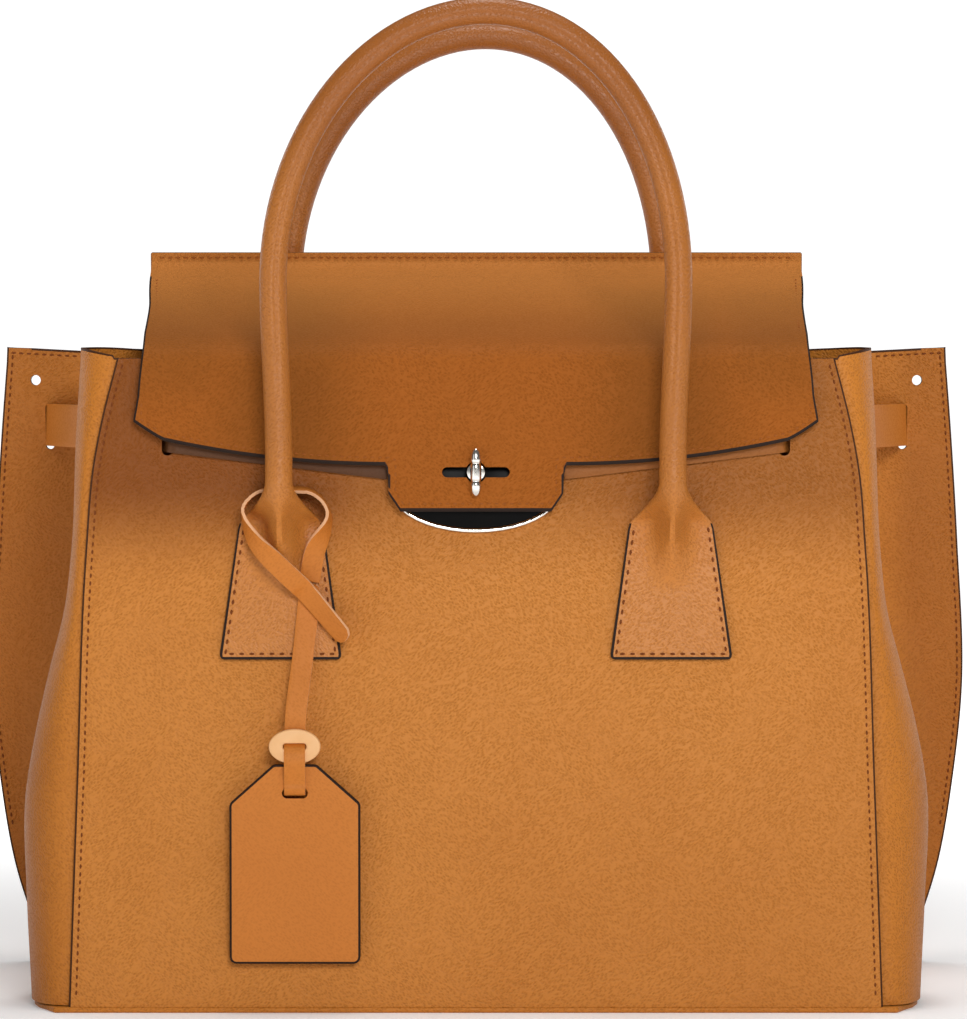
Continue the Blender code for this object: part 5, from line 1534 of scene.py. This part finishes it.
out_wing = Vector((0.0, -1.0, BACK_SLOPE)).normalized()
side_row = [(wing_half(z) - WING_INSET, z) for z in steps(0.055, WING_HEIGHT + 0.0005, 100)]
top_row = [(x, wing_top(x) - WING_INSET) for x in steps(0.150, wing_half(WING_HEIGHT) - WING_INSET, 20)]
runs = [
    run for row in (side_row, top_row)
    for run in both_sides(row, lambda x, z: back_face(z) - PANEL - GAP - GUSSET, out_wing)
]
sew("wing_thread", runs, "bag_body", pitch=0.0030)

heights = steps(FOOT_LOW + FOOT_INSET, FOOT_SHOULDER - 0.001, 20)
shares = [(z - FOOT_LOW) / (FOOT_SHOULDER - FOOT_LOW) for z in heights]
halves = [blend(FOOT_LOW_HALF, FOOT_SHOULDER_HALF, share) - FOOT_INSET for share in shares]
base_half = FOOT_LOW_HALF - FOOT_INSET
outline = [(-half, z) for half, z in zip(halves[::-1], heights[::-1])]
outline += [(x, heights[0]) for x in steps(-base_half, base_half, 12)]
outline += list(zip(halves, heights))
runs = []
for outward, depth_at, tilt in ((-1, front_skin, -FRONT_SLOPE), (1, back_skin, BACK_SLOPE)):
    facing = Vector((0.0, outward, tilt)).normalized()
    for side in (-1, 1):
        places = [(side * FOOT_SPAN + x, z) for x, z in outline]
        runs.append([(Vector((x, depth_at(x, z) + outward * (GAP + FOOT), z)), facing) for x, z in places])
sew("foot_thread", runs, "bag_body", pitch=0.0037, share=0.55, width=0.0010)

flap_stitch = {"material": tone_thread, "share": 0.62, "width": 0.0008, "sink": -0.1}
side_in, tab_in = DROP_HALF * DROP_WIDTH_SHARE - FLAP_INSET, TAB_HALF - FLAP_INSET
outline = [(side_in, DROP_TOP - 0.002)]
for x in steps(side_in, TAB_HALF - 0.001, 40):
    edge = max(drop_edge(x / DROP_WIDTH_SHARE), drop_edge(max(x, TAB_HALF + TAB_CORNER)))
    outline.append((x, edge + FLAP_INSET))
outline += [
    (tab_in, DROP_MID_LEVEL + FLAP_INSET - 0.001), (tab_in, TAB_LEVEL + TAB_CHAMFER_IN + 0.0008),
    (TAB_HALF - TAB_CHAMFER_DROP - 0.0012, TAB_LEVEL + FLAP_INSET), (0.0, TAB_LEVEL + FLAP_INSET),
]
drop_face = drop_start.x - FLAP / 2
runs = both_sides(outline, lambda x, z: drop_face + (z - DROP_TOP) * FRONT_SLOPE, out_front)
sew("flap_edge_thread", runs, "flap_drop_body", pitch=0.0028, **flap_stitch)

slope_face = beside(flap_line, -FLAP / 2)
runs = []
for side in (-1, 1):
    run = []
    for i in range(ROOT_LENGTH + 1, 34):
        ahead = (slope_face[i + 1] - slope_face[i - 1]).normalized()
        x = side * (flare(i / (len(flap_line) - 1)) - FLAP_INSET)
        run.append((Vector((x, slope_face[i].x, slope_face[i].y)), Vector((0.0, ahead.y, -ahead.x))))
    runs.append(run)
sew("flap_side_thread", runs, "flap_rear_body", pitch=0.0030, **flap_stitch)

strip_normal = Vector((0.0, -1.0, -BACK_SLOPE)).normalized()
ridge_z = SEAM_HEIGHT - 0.0020
ridge_y = strip_top.x - FLAP / 2 + BACK_SLOPE * 0.0020
runs = [[(Vector((x, ridge_y, ridge_z)), strip_normal) for x in (-FLAP_HALF + 0.003, FLAP_HALF - 0.003)]]
sew("flap_root_thread", runs, "bag_body", tone_thread, pitch=0.0031)

# %% [markdown]
# The set is a wide table of opal acrylic, lit from below as a light table is. It glows least round the
# bag, so that little light comes from underneath, and it is pure white further out. Nothing stands up
# round the bag, so it can be seen from every side.

# %% Table
TABLE_HALF = 6.0
GLOW_NEAR = 0.22
GLOW_FAR = 0.90
GLOW_LEAST = 0.15


def place_table(u, w):
    return Vector((TABLE_HALF * (2 * u - 1), TABLE_HALF * (2 * w - 1), 0.0))


opal = plain_finish("opal_acrylic_sheet", "#FAFAFA", "#F7F7F7", 0.02, 0.95, 0.0, 0.0)
opal_shader = opal.node_tree.nodes["Principled BSDF"]
opal_shader.inputs["Emission Color"].default_value = (1.0, 1.0, 1.0, 1.0)
table_place = add(opal.node_tree, "ShaderNodeTexCoord").outputs["Object"]
from_bag = add(opal.node_tree, "ShaderNodeVectorMath", {0: table_place}, operation="LENGTH").outputs["Value"]
glow = spread(opal.node_tree, from_bag, GLOW_NEAR, GLOW_FAR, GLOW_LEAST, 1.0)
opal.node_tree.links.new(glow, opal_shader.inputs["Emission Strength"])
table = link("light_table", bent_grid(4, 4, place_table, (0, 0, 1)), [opal])

# %% [markdown]
# A small softbox near the camera gives the tubes and folds their dark sides and the flap its crisp
# shadow. One right above lights the flap's slope as brightly as its drop, a weak one fills the left, and
# two stand behind, low and wide, where the slope doesn't mirror them.
# The room is dim as a light, but the camera sees it as white.

# %% Lights
ROOM_LIGHT = 0.13
ROOM_SEEN = 1.1
for name, place, target, width, height, power in (
    ("key_softbox", (0.26, -1.74, 0.75), (0.0, 0.0, 0.19), 0.55, 0.45, 16),
    ("top_softbox", (0.05, -0.02, 1.30), (0.0, 0.0, 0.26), 0.5, 0.35, 7.0),
    ("fill_softbox_left", (-1.35, -1.35, 0.45), (0.0, 0.0, 0.13), 0.7, 1.1, 2.0),
    ("back_softbox_left", (-1.40, 1.50, 0.80), (0.0, 0.0, 0.15), 0.7, 0.9, 6),
    ("back_softbox_right", (1.40, 1.50, 0.80), (0.0, 0.0, 0.15), 0.7, 0.9, 6),
):
    data = bpy.data.lights.new(name, "AREA")
    data.shape = "RECTANGLE"
    data.size, data.size_y, data.energy = width, height, power
    lamp = bpy.data.objects.new(name, data)
    lamp.location = place
    lamp.rotation_euler = (Vector(target) - Vector(place)).to_track_quat("-Z", "Y").to_euler()
    bpy.context.scene.collection.objects.link(lamp)

world = bpy.data.worlds.new("studio_room")
world.use_nodes = True
tree = world.node_tree
dim = tree.nodes["Background"]
dim.inputs["Color"].default_value = (1.0, 1.0, 1.0, 1.0)
dim.inputs["Strength"].default_value = ROOM_LIGHT
bright = add(tree, "ShaderNodeBackground", {"Color": (1.0, 1.0, 1.0, 1.0), "Strength": ROOM_SEEN})
seen = add(tree, "ShaderNodeLightPath").outputs["Is Camera Ray"]
room = add(tree, "ShaderNodeMixShader", {0: seen, 1: dim.outputs[0], 2: bright.outputs[0]})
tree.links.new(room.outputs[0], tree.nodes["World Output"].inputs["Surface"])
bpy.context.scene.world = world
bpy.context.scene.view_settings.view_transform = "Standard"

# %% [markdown]
# The photograph was taken level with the top of the bag from about 1.9 m, with a long lens that hardly
# shows perspective: the rear handle is 0.93 of the front one's size.

# %% Camera
CAMERA_DISTANCE = 1.85
CAMERA_HEIGHT = 0.247
CAMERA_DROP = 1.92
CAMERA_SHIFT = 0.0028
SENSOR = 36.0
FOCAL_PIXELS = 5000
PHOTO_HEIGHT = 1019
camera_data = bpy.data.cameras.new("studio_camera")
camera_data.sensor_fit = "VERTICAL"
camera_data.sensor_height = SENSOR
camera_data.lens = FOCAL_PIXELS / PHOTO_HEIGHT * SENSOR
camera = bpy.data.objects.new("studio_camera", camera_data)
camera.location = (CAMERA_SHIFT, front_face(CAMERA_HEIGHT) - CAMERA_DISTANCE, CAMERA_HEIGHT)
camera.rotation_euler = (math.radians(90 - CAMERA_DROP), 0.0, 0.0)
bpy.context.scene.collection.objects.link(camera)
bpy.context.scene.camera = camera
